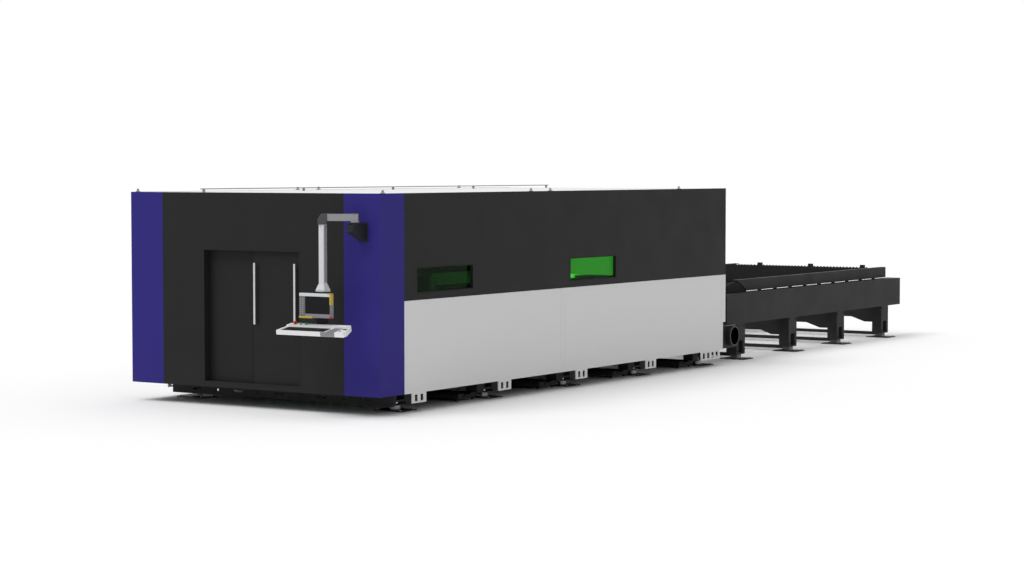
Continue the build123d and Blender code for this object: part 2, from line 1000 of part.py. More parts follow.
# Servo motors upright on the saddles, behind the beam
with BuildPart() as gantry_motors:
    with BuildSketch(level(saddle_high)):
        with Locations((guide_centre, gantry_place + gantry_beam_depth / 2 + motor_radius + motor_gap)):
            Rectangle(2 * motor_radius, 2 * motor_radius - motor_flat)
    extrude(amount=motor_base_height)
    with BuildSketch(level(saddle_high + motor_base_height)):
        with Locations((guide_centre, gantry_place + gantry_beam_depth / 2 + motor_radius + motor_gap)):
            Circle(motor_radius - motor_step)
    extrude(amount=motor_height - motor_base_height)
    mirror(about=Plane.YZ)
save(gantry_motors.part, "gantry_motors")

# Head carriage: a block grooved over the two rails of the beam
with BuildPart() as head_carriage:
    carriage_back = carriage_face - slide_gap
    carriage_front = carriage_face - beam_guide_depth - carriage_thickness
    with BuildSketch(along(carriage_width / 2)):
        area(carriage_front, beam_bottom - carriage_overlap, carriage_back, beam_top + carriage_overlap)
        for low in (beam_bottom + beam_guide_inset, beam_top - beam_guide_inset - beam_guide_width):
            area(
                carriage_face - beam_guide_depth - slide_gap,
                low - slide_gap,
                carriage_back,
                low + beam_guide_width + slide_gap,
                mode=Mode.SUBTRACT,
            )
    extrude(amount=-carriage_width)
save(head_carriage.part, "head_carriage")

# Cutting head: a slide plate, a clamp and the turned body of the head
with BuildPart() as cutting_head:
    plate_back = carriage_front - slide_gap
    with BuildSketch(across(plate_back)):
        with Locations((0, head_low + head_plate_height / 2)):
            Rectangle(head_plate_width, head_plate_height)
    extrude(amount=head_plate_thickness - slide_gap)
    with BuildSketch(across(plate_back - head_plate_thickness + slide_gap)):
        area(-head_radius, head_low + clamp_low, head_radius, head_low + clamp_high)
    extrude(amount=head_radius)
    with BuildSketch(across(head_axis)):
        with BuildLine():
            Polyline(
                (0, head_low - head_cone_drop),
                (head_cone_radius, head_low - head_cone_drop),
                (head_radius, head_low + head_cone_rise),
                (head_radius, head_top - head_shoulder_drop),
                (head_neck_radius, head_top - head_neck_drop),
                (head_neck_radius, head_top),
                (0, head_top),
                close=True,
            )
        make_face()
    revolve(axis=Axis((0, front_y + head_axis, 0), (0, 0, 1)))
save(cutting_head.part, "cutting_head")

# Nozzle: copper cone under the head
with BuildPart() as nozzle:
    with BuildSketch(across(head_axis)):
        with BuildLine():
            Polyline(
                (nozzle_bore_radius, nozzle_tip),
                (nozzle_tip_radius, nozzle_tip),
                (nozzle_radius, head_low - head_cone_drop - nozzle_rim),
                (nozzle_radius, head_low - head_cone_drop),
                (nozzle_bore_radius, head_low - head_cone_drop),
                close=True,
            )
        make_face()
    revolve(axis=Axis((0, front_y + head_axis, 0), (0, 0, 1)))
save(nozzle.part, "nozzle")

# Pallets: the upper one on the table, the lower one in the cabin, one travel further forward.
# Each has a tube frame, toothed slats across it and two pairs of wheels.
pallets = (
    ("upper", upper_pallet_low, 0, upper_wheel_height),
    ("lower", lower_pallet_low, -pallet_travel, lower_wheel_height),
)
rail_inner = pallet_half_width - pallet_rail_width
for name, low, shift, wheel_height in pallets:
    rear = pallet_rear + shift
    front = pallet_front + shift
    axle_places = (front + wheel_inset, rear - wheel_inset)

    with BuildPart() as pallet_frame:
        with BuildSketch(across(front)):
            area(rail_inner, low, pallet_half_width, low + pallet_rail_height)
            area(
                rail_inner + pallet_wall,
                low + pallet_wall,
                pallet_half_width - pallet_wall,
                low + pallet_rail_height - pallet_wall,
                mode=Mode.SUBTRACT,
            )
        extrude(amount=-pallet_length)
        with BuildSketch(along(pallet_half_width)):
            with Locations(*[(place, wheel_height) for place in axle_places]):
                Circle(axle_radius)
        extrude(amount=wheel_start + wheel_width + axle_overhang - pallet_half_width)
        mirror(about=Plane.YZ)
        with BuildSketch(along(rail_inner)):
            cross_pitch = (pallet_length - pallet_rail_width) / (pallet_cross_count - 1)
            for number in range(pallet_cross_count):
                place = front + number * cross_pitch
                area(place, low, place + pallet_rail_width, low + pallet_rail_height)
        extrude(amount=-2 * rail_inner)
        with BuildSketch(level(low + pallet_rail_height)):
            for place in (-stop_block_pitch, 0, stop_block_pitch):
                with Locations((place, rear - stop_block_inset)):
                    Rectangle(stop_block_length, stop_block_width)
        extrude(amount=slat_height + stop_block_rise)
    save(pallet_frame.part, f"{name}_pallet_frame")

    slat_low = low + pallet_rail_height
    slat_high = slat_low + slat_height
    slat_count = int((pallet_length - slat_margin) / slat_pitch)
    tooth_count = int(2 * slat_half_length / tooth_pitch)
    tooth_start = -tooth_count * tooth_pitch / 2
    outline = [(-slat_half_length, slat_low), (slat_half_length, slat_low)]
    outline.append((slat_half_length, slat_high - tooth_height))
    for number in range(tooth_count, 0, -1):
        valley = tooth_start + number * tooth_pitch
        outline.append((valley, slat_high - tooth_height))
        outline.append((valley - tooth_pitch / 2, slat_high))
    outline.append((tooth_start, slat_high - tooth_height))
    outline.append((-slat_half_length, slat_high - tooth_height))
    with BuildPart() as pallet_slats:
        for number in range(slat_count):
            with BuildSketch(across(front + slat_first + number * slat_pitch)):
                with BuildLine():
                    Polyline(*outline, close=True)
                make_face()
            extrude(amount=-slat_thickness)
    save(pallet_slats.part, f"{name}_pallet_slats")

    for side, place in zip(("front", "rear"), axle_places):
        with BuildPart() as wheel_pair:
            with BuildSketch(along(wheel_start)):
                with Locations((place, wheel_height)):
                    Circle(wheel_radius)
                    Circle(axle_radius + running_gap, mode=Mode.SUBTRACT)
            extrude(amount=wheel_width)
            mirror(about=Plane.YZ)
        save(wheel_pair.part, f"{name}_pallet_{side}_wheels")

# Wall bracket of the operator panel: plate, gusset and pivot flange
with BuildPart() as panel_bracket:
    with BuildSketch(across(0)):
        area(pivot_x - bracket_width / 2, bracket_low, pivot_x + bracket_width / 2, bracket_top)
    extrude(amount=bracket_plate)
    with BuildSketch(along(pivot_x + gusset_width / 2)):
        with BuildLine():
            Polyline(
                (-bracket_plate, bracket_low + gusset_foot),
                (-bracket_plate, bracket_top - flange_thickness),
                (-pivot_reach - gusset_overreach, bracket_top - flange_thickness),
                (-pivot_reach - gusset_overreach, bracket_top - flange_thickness - gusset_tip),
                close=True,
            )
        make_face()
    extrude(amount=-gusset_width)
    with BuildSketch(level(bracket_top - flange_thickness)):
        with Locations((pivot_x, -pivot_reach)):
            Circle(flange_radius)
        area(pivot_x - gusset_width / 2, -pivot_reach, pivot_x + gusset_width / 2, -bracket_plate)
    extrude(amount=flange_thickness)
save(panel_bracket.part, "panel_bracket")

# Swing arm: hub over the bracket's flange and a square tube to the elbow
arm_run = (column_x - pivot_x, pivot_reach - column_reach)
arm_length = math.hypot(*arm_run)
arm_turn = math.degrees(math.atan2(arm_run[1], arm_run[0]))
arm_plane = Plane(
    origin=(pivot_x, front_y - pivot_reach, arm_low),
    x_dir=(math.cos(math.radians(arm_turn)), math.sin(math.radians(arm_turn)), 0),
    z_dir=(0, 0, 1),
)
with BuildPart() as swing_arm:
    with BuildSketch(level(bracket_top + slide_gap)):
        with Locations((pivot_x, -pivot_reach)):
            Circle(hub_radius)
    extrude(amount=arm_low - bracket_top - slide_gap)
    with BuildSketch(arm_plane):
        area(-arm_size / 2, -arm_size / 2, arm_length - elbow_radius + arm_lap, arm_size / 2)
    extrude(amount=arm_size)
    with BuildSketch(level(elbow_low)):
        with Locations((column_x, -column_reach)):
            Circle(elbow_radius)
    extrude(amount=arm_low + arm_size - elbow_low, mode=Mode.SUBTRACT)
save(swing_arm.part, "swing_arm")

# Elbow at the arm's end: a round cap, domed on top
with BuildPart() as arm_elbow:
    with BuildSketch(level(elbow_low)):
        with Locations((column_x, -column_reach)):
            Circle(elbow_radius)
    extrude(amount=arm_low + arm_size - elbow_low)
    fillet(arm_elbow.faces().sort_by(Axis.Z)[-1].edges(), elbow_round)
save(arm_elbow.part, "arm_elbow")

# Drop column: square tube with rounded corners, flared at its foot
with BuildPart() as drop_column:
    with BuildSketch(level(column_low)):
        with Locations((column_x, -column_reach)):
            RectangleRounded(column_size, column_size, column_corner)
    extrude(amount=elbow_low - slide_gap - column_low)
    with BuildSketch(level(column_low)):
        with Locations((column_x, -column_reach)):
            RectangleRounded(column_size + flare_lip, column_size + flare_lip, column_corner)
    with BuildSketch(level(flare_low + flare_base)):
        with Locations((column_x, -column_reach)):
            RectangleRounded(flare_size, flare_size, column_corner)
    loft()
    with BuildSketch(level(flare_low)):
        with Locations((column_x, -column_reach)):
            RectangleRounded(flare_size, flare_size, column_corner)
    extrude(amount=flare_base)
save(drop_column.part, "drop_column")

# Plane of the keyboard tray's top, tilted towards the operator
tray_plane = Plane(
    origin=(0, front_y - tray_reach, tray_front_height),
    x_dir=(1, 0, 0),
    z_dir=(0, -math.sin(math.radians(tray_tilt)), math.cos(math.radians(tray_tilt))),
)

# Display housing under the column, with the neck that carries the keyboard tray
neck_front = display_reach - display_thickness
tray_back_height = tray_front_height + tray_depth * math.sin(math.radians(tray_tilt))
with BuildPart() as display_housing:
    with BuildSketch(across(-display_reach)):
        area(display_left, display_low, display_right, display_high)
    extrude(amount=-display_thickness)
    fillet(display_housing.edges().filter_by(Axis.Y), display_corner)
    with BuildSketch(across(-display_reach)):
        area(screen_left, screen_low, screen_right, screen_high)
    extrude(amount=-screen_recess, mode=Mode.SUBTRACT)
    with BuildSketch(along(column_x - neck_width / 2)):
        area(-neck_front, display_low + neck_lap, neck_depth - neck_front, flare_low)
        area(-display_reach + neck_collar_inset, display_high, neck_depth - neck_front, flare_low)
        area(
            -neck_front,
            tray_back_height - neck_foot_drop,
            neck_depth - neck_front + neck_foot_depth,
            display_low + neck_lap,
        )
    extrude(amount=neck_width)
    with BuildSketch(tray_plane.offset(-2 * tray_thickness)):
        area(column_x - neck_width, 0, column_x + neck_width, tray_depth)
    extrude(amount=2 * tray_thickness + tray_strip_rise, mode=Mode.SUBTRACT)
save(display_housing.part, "display_housing")

with BuildPart() as display_screen:
    with BuildSketch(across(screen_recess - display_reach)):
        area(screen_left, screen_low, screen_right, screen_high)
    extrude(amount=screen_thickness)
save(display_screen.part, "display_screen")

# Keyboard tray: a tilted plate with a recess, a raised strip behind it
# and a wider right end for the hand unit
keyboard_centre = tray_left + keyboard_inset + keyboard_width / 2
with BuildPart() as keyboard_tray:
    with BuildSketch(tray_plane):
        with BuildLine():
            Polyline(
                (tray_left, 0),
                (tray_right + hand_unit_reach, 0),
                (tray_right + hand_unit_reach, hand_unit_front),
                (tray_right, tray_depth),
                (tray_left, tray_depth),
                close=True,
            )
        make_face()
    extrude(amount=-tray_thickness)
    with BuildSketch(tray_plane):
        area(tray_left, tray_depth - tray_strip_depth, tray_right, tray_depth)
    extrude(amount=tray_strip_rise)
    with BuildSketch(tray_plane):
        with Locations((keyboard_centre, keyboard_front + keyboard_depth / 2)):
            Rectangle(keyboard_width + 2 * keyboard_side_gap, keyboard_depth + 2 * keyboard_end_gap)
    extrude(amount=-keyboard_thickness, mode=Mode.SUBTRACT)
    with BuildSketch(tray_plane):
        for place in (stop_x, stop_x + green_pitch, stop_x + 2 * green_pitch):
            with Locations((place, tray_depth - tray_strip_depth / 2)):
                Circle(button_stem + slide_gap)
    extrude(amount=tray_strip_rise, mode=Mode.SUBTRACT)
save(keyboard_tray.part, "keyboard_tray")

# Keyboard in the recess, with rows of keys as raised bars
with BuildPart() as keyboard:
    with BuildSketch(tray_plane.offset(-keyboard_thickness)):
        with Locations((keyboard_centre, keyboard_front + keyboard_depth / 2)):
            Rectangle(keyboard_width, keyboard_depth)
    extrude(amount=keyboard_base)
    with BuildSketch(tray_plane.offset(keyboard_base - keyboard_thickness)):
        with Locations((keyboard_centre, keyboard_front + keyboard_depth / 2)):
            with GridLocations(keyboard_width, key_row_pitch, 1, key_rows):
                Rectangle(keyboard_width - 2 * key_row_inset, key_row_depth)
    extrude(amount=key_height)
save(keyboard.part, "keyboard")

# Emergency stop and the two green buttons, each with a stem in the raised strip
strip_plane = tray_plane.offset(tray_strip_rise)
buttons = (
    ("emergency_stop", stop_x, stop_radius, stop_height, stop_press),
    ("green_button_1", stop_x + green_pitch, green_radius, green_height, green_press),
    ("green_button_2", stop_x + 2 * green_pitch, green_radius, green_height, green_press),
)
for name, place, radius, height, travel in buttons:
    with BuildPart() as button:
        with BuildSketch(tray_plane.offset(travel + slide_gap)):
            with Locations((place, tray_depth - tray_strip_depth / 2)):
                Circle(button_stem)
        extrude(amount=tray_strip_rise - slide_gap)
        with BuildSketch(strip_plane.offset(travel)):
            with Locations((place, tray_depth - tray_strip_depth / 2)):
                Circle(radius)
        extrude(amount=height)
        cap_axis = Axis(strip_plane.origin, strip_plane.z_dir)
        chamfer(button.faces().sort_by(cap_axis)[-1].edges(), button_chamfer)
    save(button.part, name)

# Slag drawers between the legs: shallow trays on four short feet
for number, place in enumerate(leg_places[1:], start=1):
    drawer_rear = place - leg_length / 2 - drawer_gap
    drawer_front = drawer_rear - drawer_width
    drawer_outer = bed_half_width + drawer_overhang
    drawer_inner = drawer_outer - drawer_length
    with BuildPart() as slag_drawer:
        with BuildSketch(level(drawer_low)):
            area(drawer_inner, drawer_front, drawer_outer, drawer_rear)
        extrude(amount=drawer_height)
        with BuildSketch(level(drawer_low + drawer_wall)):
            area(
                drawer_inner + drawer_wall,
                drawer_front + drawer_wall,
                drawer_outer - drawer_wall,
                drawer_rear - drawer_wall,
            )
        extrude(amount=drawer_height, mode=Mode.SUBTRACT)
        with BuildSketch(level(0)):
            for x in (drawer_inner + drawer_foot_inset, drawer_outer - drawer_foot_inset):
                for y in (drawer_front + drawer_foot_edge, drawer_rear - drawer_foot_edge):
                    with Locations((x, y)):
                        Circle(drawer_foot)
        extrude(amount=drawer_low)
        with BuildSketch(along(drawer_outer)):
            with Locations(((drawer_front + drawer_rear) / 2, drawer_low + drawer_height)):
                SlotOverall(drawer_notch_length, drawer_notch_width)
        extrude(amount=-drawer_wall, mode=Mode.SUBTRACT)
    save(slag_drawer.part, f"slag_drawer_{number}")
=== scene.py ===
import math

import bpy
import numpy as np
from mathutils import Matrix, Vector


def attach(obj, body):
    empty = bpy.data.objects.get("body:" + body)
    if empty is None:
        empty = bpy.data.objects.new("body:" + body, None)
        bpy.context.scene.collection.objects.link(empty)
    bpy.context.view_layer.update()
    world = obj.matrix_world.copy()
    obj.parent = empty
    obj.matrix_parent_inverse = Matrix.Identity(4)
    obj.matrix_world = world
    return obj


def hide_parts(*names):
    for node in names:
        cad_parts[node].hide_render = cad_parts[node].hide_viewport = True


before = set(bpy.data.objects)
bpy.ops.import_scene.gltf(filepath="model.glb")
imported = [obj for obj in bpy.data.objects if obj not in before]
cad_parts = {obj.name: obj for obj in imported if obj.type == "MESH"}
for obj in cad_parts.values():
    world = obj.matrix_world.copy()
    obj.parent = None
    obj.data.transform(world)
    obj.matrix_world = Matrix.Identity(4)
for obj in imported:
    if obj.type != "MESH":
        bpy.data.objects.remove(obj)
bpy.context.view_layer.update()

# Corner columns: folded steel sheet in blue-violet powder coat, screwed to the cabin frame.
# The coat has a fine grain, is a little uneven over each sheet and gets dusty towards the floor.
# Places along the machine are counted back from door_face, the front of the cabin.
door_face = -7.455
half_width = 1.89


def tone(red, green, blue):
    """Linear colour of an 8-bit display colour."""
    shares = [value / 255 for value in (red, green, blue)]
    linear = [((share + 0.055) / 1.055) ** 2.4 if share > 10 / 255 else share / 12.92 for share in shares]
    return linear + [1.0]


def coat(name, colour, rough=0.5, specular=0.3, grain=700.0, bump=0.06, mottle=0.10, dust=0.0):
    """Paint or moulded plastic: grain in its bump, broad unevenness in colour and gloss, dust near the floor.

    colour is an 8-bit display colour, and dust is the share of it at the floor.
    """
    material = bpy.data.materials.new(name)
    material.use_nodes = True
    tree = material.node_tree
    shader = tree.nodes["Principled BSDF"]
    shader.inputs["Specular IOR Level"].default_value = specular
    place = tree.nodes.new("ShaderNodeTexCoord")
    broad = tree.nodes.new("ShaderNodeTexNoise")
    broad.inputs["Scale"].default_value = 2.3
    broad.inputs["Detail"].default_value = 5.0
    fine = tree.nodes.new("ShaderNodeTexNoise")
    fine.inputs["Scale"].default_value = grain
    fine.inputs["Detail"].default_value = 2.0
    for noise in (broad, fine):
        tree.links.new(place.outputs["Object"], noise.inputs["Vector"])
    paint = tree.nodes.new("ShaderNodeMix")
    paint.data_type = "RGBA"
    base = tone(*colour)
    paint.inputs["A"].default_value = [c * (1 - mottle) for c in base[:3]] + [1.0]
    paint.inputs["B"].default_value = [min(1.0, c * (1 + mottle)) for c in base[:3]] + [1.0]
    tree.links.new(broad.outputs["Fac"], paint.inputs["Factor"])
    result = paint.outputs["Result"]
    if dust > 0:
        split = tree.nodes.new("ShaderNodeSeparateXYZ")
        tree.links.new(place.outputs["Object"], split.inputs["Vector"])
        fade = tree.nodes.new("ShaderNodeMapRange")
        fade.inputs["From Min"].default_value = 0.0
        fade.inputs["From Max"].default_value = 0.7
        fade.inputs["To Min"].default_value = dust
        fade.inputs["To Max"].default_value = 0.0
        tree.links.new(split.outputs["Z"], fade.inputs["Value"])
        patch = tree.nodes.new("ShaderNodeMath")
        patch.operation = "MULTIPLY"
        tree.links.new(fade.outputs["Result"], patch.inputs[0])
        tree.links.new(broad.outputs["Fac"], patch.inputs[1])
        dusty = tree.nodes.new("ShaderNodeMix")
        dusty.data_type = "RGBA"
        dusty.inputs["B"].default_value = tone(120, 116, 110)
        tree.links.new(patch.outputs["Value"], dusty.inputs["Factor"])
        tree.links.new(result, dusty.inputs["A"])
        result = dusty.outputs["Result"]
    tree.links.new(result, shader.inputs["Base Color"])
    gloss = tree.nodes.new("ShaderNodeMapRange")
    gloss.inputs["From Min"].default_value = 0.3
    gloss.inputs["From Max"].default_value = 0.7
    gloss.inputs["To Min"].default_value = rough - 0.06
    gloss.inputs["To Max"].default_value = rough + 0.06
    tree.links.new(broad.outputs["Fac"], gloss.inputs["Value"])
    tree.links.new(gloss.outputs["Result"], shader.inputs["Roughness"])
    relief = tree.nodes.new("ShaderNodeBump")
    relief.inputs["Strength"].default_value = bump
    relief.inputs["Distance"].default_value = 0.001
    tree.links.new(fine.outputs["Fac"], relief.inputs["Height"])
    tree.links.new(relief.outputs["Normal"], shader.inputs["Normal"])
    return material


def rounded(obj, width, angle):
    """Slightly rounded edges, where two faces meet at more than an angle in degrees."""
    rounding = obj.modifiers.new("rounding", "BEVEL")
    rounding.width = width
    rounding.segments = 2
    rounding.limit_method = "ANGLE"
    rounding.angle_limit = math.radians(angle)


def dress(names, material, bevel=0.0):
    """Gives CAD nodes a material and, where bevel is above 0, rounded edges."""
    for name in names:
        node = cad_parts[name]
        node.data.materials.clear()
        node.data.materials.append(material)
        if bevel > 0:
            rounded(node, bevel, 50)


blue_coat = coat("blue_coat", (48, 41, 118), rough=0.55, specular=0.08, dust=0.03)
dress(["corner_columns"], blue_coat, 0.003)
blue_frame = coat("blue_frame", (40, 34, 104), rough=0.5, specular=0.2, dust=0.1, bump=0.12, grain=250.0)
dress(["cabin_rails", "cabin_cross_tubes", "cabin_posts", "gantry_beam"], blue_frame, 0.003)

# Bed: girders, legs, cross members and end plates welded from plate, in charcoal paint.
# The paint is coarser than the cabin's and dustier near the floor.
bed_coat = coat("bed_coat", (46, 46, 48), rough=0.55, specular=0.1, dust=0.2, bump=0.15, grain=250.0)
dress(["bed_girders", "bed_legs", "bed_cross_members"], bed_coat, 0.003)

# Front panel, upper side panels and door tracks: folded sheet in black powder coat.
# The door leaves are closed sheet boxes in the same black, a little glossier.
black_coat = coat("black_coat", (38, 38, 39), rough=0.5, specular=0.07, dust=0.04)
dress(["front_panel", "upper_side_panels", "door_tracks"], black_coat, 0.002)
door_coat = coat("door_coat", (37, 37, 38), rough=0.45, specular=0.07, mottle=0.12, dust=0.05)
dress(["door_left", "door_right"], door_coat, 0.003)


def piece(name, shapes, body, material, bevel=0.0, smooth=False):
    """One mesh object made of (vertices, faces) shapes, riding on a CAD body."""
    points, faces = [], []
    count = 0
    for corners, sides in shapes:
        points.append(np.asarray(corners, dtype=float))
        faces += [[index + count for index in side] for side in sides]
        count += len(corners)
    mesh = bpy.data.meshes.new(name)
    mesh.from_pydata(np.concatenate(points).tolist(), [], faces)
    mesh.materials.append(material)
    if smooth:
        mesh.polygons.foreach_set("use_smooth", [True] * len(mesh.polygons))
    obj = bpy.data.objects.new(name, mesh)
    bpy.context.scene.collection.objects.link(obj)
    if bevel > 0:
        rounded(obj, bevel, 40)
    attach(obj, body)
    return obj


def prism(outline, axis, start, end):
    """Straight solid with the outline's points in the plane across axis, from start to end along it.

    axis 0 takes (y, z) points, axis 1 takes (x, z) points and axis 2 takes (x, y) points.
    """
    flat = np.asarray(outline, dtype=float)
    others = [number for number in range(3) if number != axis]
    area = 0.5 * np.sum(flat[:, 0] * np.roll(flat[:, 1], -1) - np.roll(flat[:, 0], -1) * flat[:, 1])
    if (area < 0) != (axis == 1):
        flat = flat[::-1]
    count = len(flat)
    corners = np.zeros((2 * count, 3))
    corners[:, others[0]] = np.tile(flat[:, 0], 2)
    corners[:, others[1]] = np.tile(flat[:, 1], 2)
    corners[:count, axis] = min(start, end)
    corners[count:, axis] = max(start, end)
    sides = [[k, (k + 1) % count, count + (k + 1) % count, count + k] for k in range(count)]
    return corners, sides + [list(range(count))[::-1], list(range(count, 2 * count))]


def block(low, high):
    """Box between two corners, for a strip or plate that gets its edges from the piece's bevel."""
    (x0, y0, z0), (x1, y1, z1) = low, high
    return prism([(y0, z0), (y1, z0), (y1, z1), (y0, z1)], 0, x0, x1)


def border(axis, at, proud, low, high, width):
    """Four strips round a rectangle, on a face across axis at a place, standing proud of it."""
    (u0, v0), (u1, v1) = low, high
    strips = [((u0, v0), (u1, v0 + width)), ((u0, v1 - width), (u1, v1)),
              ((u0, v0 + width), (u0 + width, v1 - width)), ((u1 - width, v0 + width), (u1, v1 - width))]
    shapes = []
    for (a0, b0), (a1, b1) in strips:
        shapes.append(prism([(a0, b0), (a1, b0), (a1, b1), (a0, b1)], axis, at, at + proud))
    return shapes


# Door surround: a folded edge strip round the doorway, of the front panel's black sheet,
# and a black rubber seal on the closing edge where the two leaves meet.
rubber = coat("rubber", (22, 22, 22), rough=0.75, specular=0.2, grain=400.0, bump=0.2)
trim_low, trim_high = (-0.741, 0.284), (0.741, 1.903)
trim_proud, trim_depth, trim_width = 0.002, 0.006, 0.018
trim = border(1, door_face - trim_proud, trim_depth, trim_low, trim_high, trim_width)
piece("doorway_trim", trim, "frame", black_coat, bevel=0.001)
seal_low, seal_high = (-0.030, door_face + 0.058, 0.305), (-0.012, door_face + 0.080, 1.882)
piece("door_seal", [block(seal_low, seal_high)], "door_right", rubber, bevel=0.001)

# Window seals: a black rubber lip round each laser-safe pane, pressed on the panel's edge.
# The panes are thick green acrylic, two to a side.
window_starts, window_length = (0.76, 4.20), 1.157
window_low, window_high = 1.415, 1.693
lip_lap, lip_width, lip_proud = 0.012, 0.010, 0.003
seals = []
for side in (-1, 1):
    for start in window_starts:
        low = (door_face + start - lip_lap, window_low - lip_lap)
        high = (door_face + start + window_length + lip_lap, window_high + lip_lap)
        seals += border(0, side * half_width, side * lip_proud, low, high, lip_width)
piece("window_seals", seals, "frame", rubber, bevel=0.0015)


def tinted(name, colour, rough):
    """Clear coloured pane with faint wipe marks in its gloss."""
    material = bpy.data.materials.new(name)
    material.use_nodes = True
    tree = material.node_tree
    shader = tree.nodes["Principled BSDF"]
    shader.inputs["Transmission Weight"].default_value = 1.0
    shader.inputs["IOR"].default_value = 1.1
    place = tree.nodes.new("ShaderNodeTexCoord")
    marks = tree.nodes.new("ShaderNodeTexNoise")
    marks.inputs["Scale"].default_value = 6.0
    marks.inputs["Distortion"].default_value = 1.5
    tree.links.new(place.outputs["Object"], marks.inputs["Vector"])
    gloss = tree.nodes.new("ShaderNodeMapRange")
    gloss.inputs["To Min"].default_value = rough
    gloss.inputs["To Max"].default_value = rough + 0.08
    tree.links.new(marks.outputs["Fac"], gloss.inputs["Value"])
    tree.links.new(gloss.outputs["Result"], shader.inputs["Roughness"])
    blend = tree.nodes.new("ShaderNodeMix")
    blend.data_type = "RGBA"
    blend.inputs["A"].default_value = tone(*colour)
    blend.inputs["B"].default_value = [c * 0.9 for c in tone(*colour)[:3]] + [1.0]
    tree.links.new(marks.outputs["Fac"], blend.inputs["Factor"])
    tree.links.new(blend.outputs["Result"], shader.inputs["Base Color"])
    return material


green_glass = tinted("green_glass", (70, 215, 60), 0.02)
dress(["window_glass"], green_glass)

# Lower side panels, skirt combs and rear panel: folded sheet in white powder coat.
# Each white sheet has a pressed bead near its edges, and a dark joint runs along the sheets' top.
white_coat = coat("white_coat", (214, 214, 215), rough=0.5, specular=0.25, mottle=0.02, dust=0.08)
dress(["lower_side_panels", "skirt_brackets", "rear_panel"], white_coat, 0.002)
bead_spans, bead_low, bead_high = ((0.54, 3.965), (4.065, 8.415)), 0.285, 1.275
bead_width, bead_proud = 0.006, 0.002
beads = []
for side in (-1, 1):
    for start, end in bead_spans:
        low, high = (door_face + start, bead_low), (door_face + end, bead_high)
        beads += border(0, side * half_width, side * bead_proud, low, high, bead_width)
piece("panel_beads", beads, "frame", white_coat, bevel=0.0008)
joint_start, joint_end = door_face + 0.49, door_face + 8.538
joint_low, joint_high, joint_proud = 1.322, 1.330, 0.003
belt = []
for side in (-1, 1):
    belt.append(block((side * half_width, joint_start, joint_low),
                      (side * (half_width + joint_proud), joint_end, joint_high)))
piece("belt_joint", belt, "frame", rubber, bevel=0.001)

# Roof: folded sheets in a pale coat, with four turned lifting eyes along each side
# and a thin grey rail on short stands.
roof_coat = coat("roof_coat", (226, 226, 227), rough=0.5, specular=0.3)
dress(["roof_panels"], roof_coat, 0.002)
rail_coat = coat("rail_coat", (150, 150, 151), rough=0.5, specular=0.2)
dress(["roof_rail"], rail_coat, 0.002)


def lathe(profile, centre, axis, steps=24):
    """Solid turned from (radius, distance) points about axis through centre, with a cap at each end."""
    others = [(axis + 1) % 3, (axis + 2) % 3]
    rings = np.asarray(profile, dtype=float)
    angles = np.linspace(0, 2 * math.pi, steps, endpoint=False)
    corners = np.zeros((len(rings), steps, 3))
    corners[:, :, others[0]] = rings[:, :1] * np.cos(angles)
    corners[:, :, others[1]] = rings[:, :1] * np.sin(angles)
    corners[:, :, axis] = rings[:, 1:]
    corners = corners.reshape(-1, 3) + np.asarray(centre, dtype=float)
    faces = []
    for ring in range(len(rings) - 1):
        for k in range(steps):
            a, b = ring * steps + k, ring * steps + (k + 1) % steps
            faces.append([a, b, b + steps, a + steps])
    faces.append(list(range(steps))[::-1])
    faces.append(list(range((len(rings) - 1) * steps, len(rings) * steps)))
    return corners, faces


def shell(profile, centre, axis, steps=24):
    """The same turned shape without its two caps, for a ring or a sleeve."""
    corners, faces = lathe(profile, centre, axis, steps)
    return corners, faces[:-2]


eye_profile = [(0.030, 0.0), (0.030, 0.008), (0.012, 0.012), (0.012, 0.028), (0.018, 0.030), (0.014, 0.038)]
eye_x, roof_top = 1.865, 2.577
eyes = []
for side in (-1, 1):
    for eye_place in (0.10, 3.28, 3.74, 7.16):
        eyes.append(lathe(eye_profile, (side * eye_x, door_face + eye_place, roof_top), 2, 12))
piece("lifting_eyes", eyes, "frame", rail_coat)

# Operator arm: grey swing arm and light grey drop column in extruded aluminium, dark cast elbow.
# The arm turns on its pivot at the wall, and the column turns under the elbow.
grey_coat = coat("grey_coat", (203, 204, 206), rough=0.38, specular=0.3, mottle=0.03, grain=1500.0, bump=0.03)
dress(["drop_column"], grey_coat, 0.0015)
arm_coat = coat("arm_coat", (140, 140, 142), rough=0.4, specular=0.35, mottle=0.04, grain=1500.0, bump=0.03)
dress(["swing_arm"], arm_coat, 0.002)
elbow_coat = coat("elbow_coat", (66, 67, 69), rough=0.45, specular=0.3, mottle=0.06, grain=500.0, bump=0.12)
column_x, column_y = 1.345, door_face - 0.35
pivot = np.array([1.664, door_face - 0.165, 0.0])
run = np.array([column_x, column_y, 0.0]) - pivot
reach = float(np.linalg.norm(run))
run /= reach


def along_arm(shape):
    """Shape drawn with x from the pivot along the arm and y across it, turned to the arm's direction."""
    corners, faces = shape
    flat = np.asarray(corners)
    sideways, up = np.array([-run[1], run[0], 0.0]), np.array([0.0, 0.0, 1.0])
    return pivot + flat[:, :1] * run + flat[:, 1:2] * sideways + flat[:, 2:] * up, faces


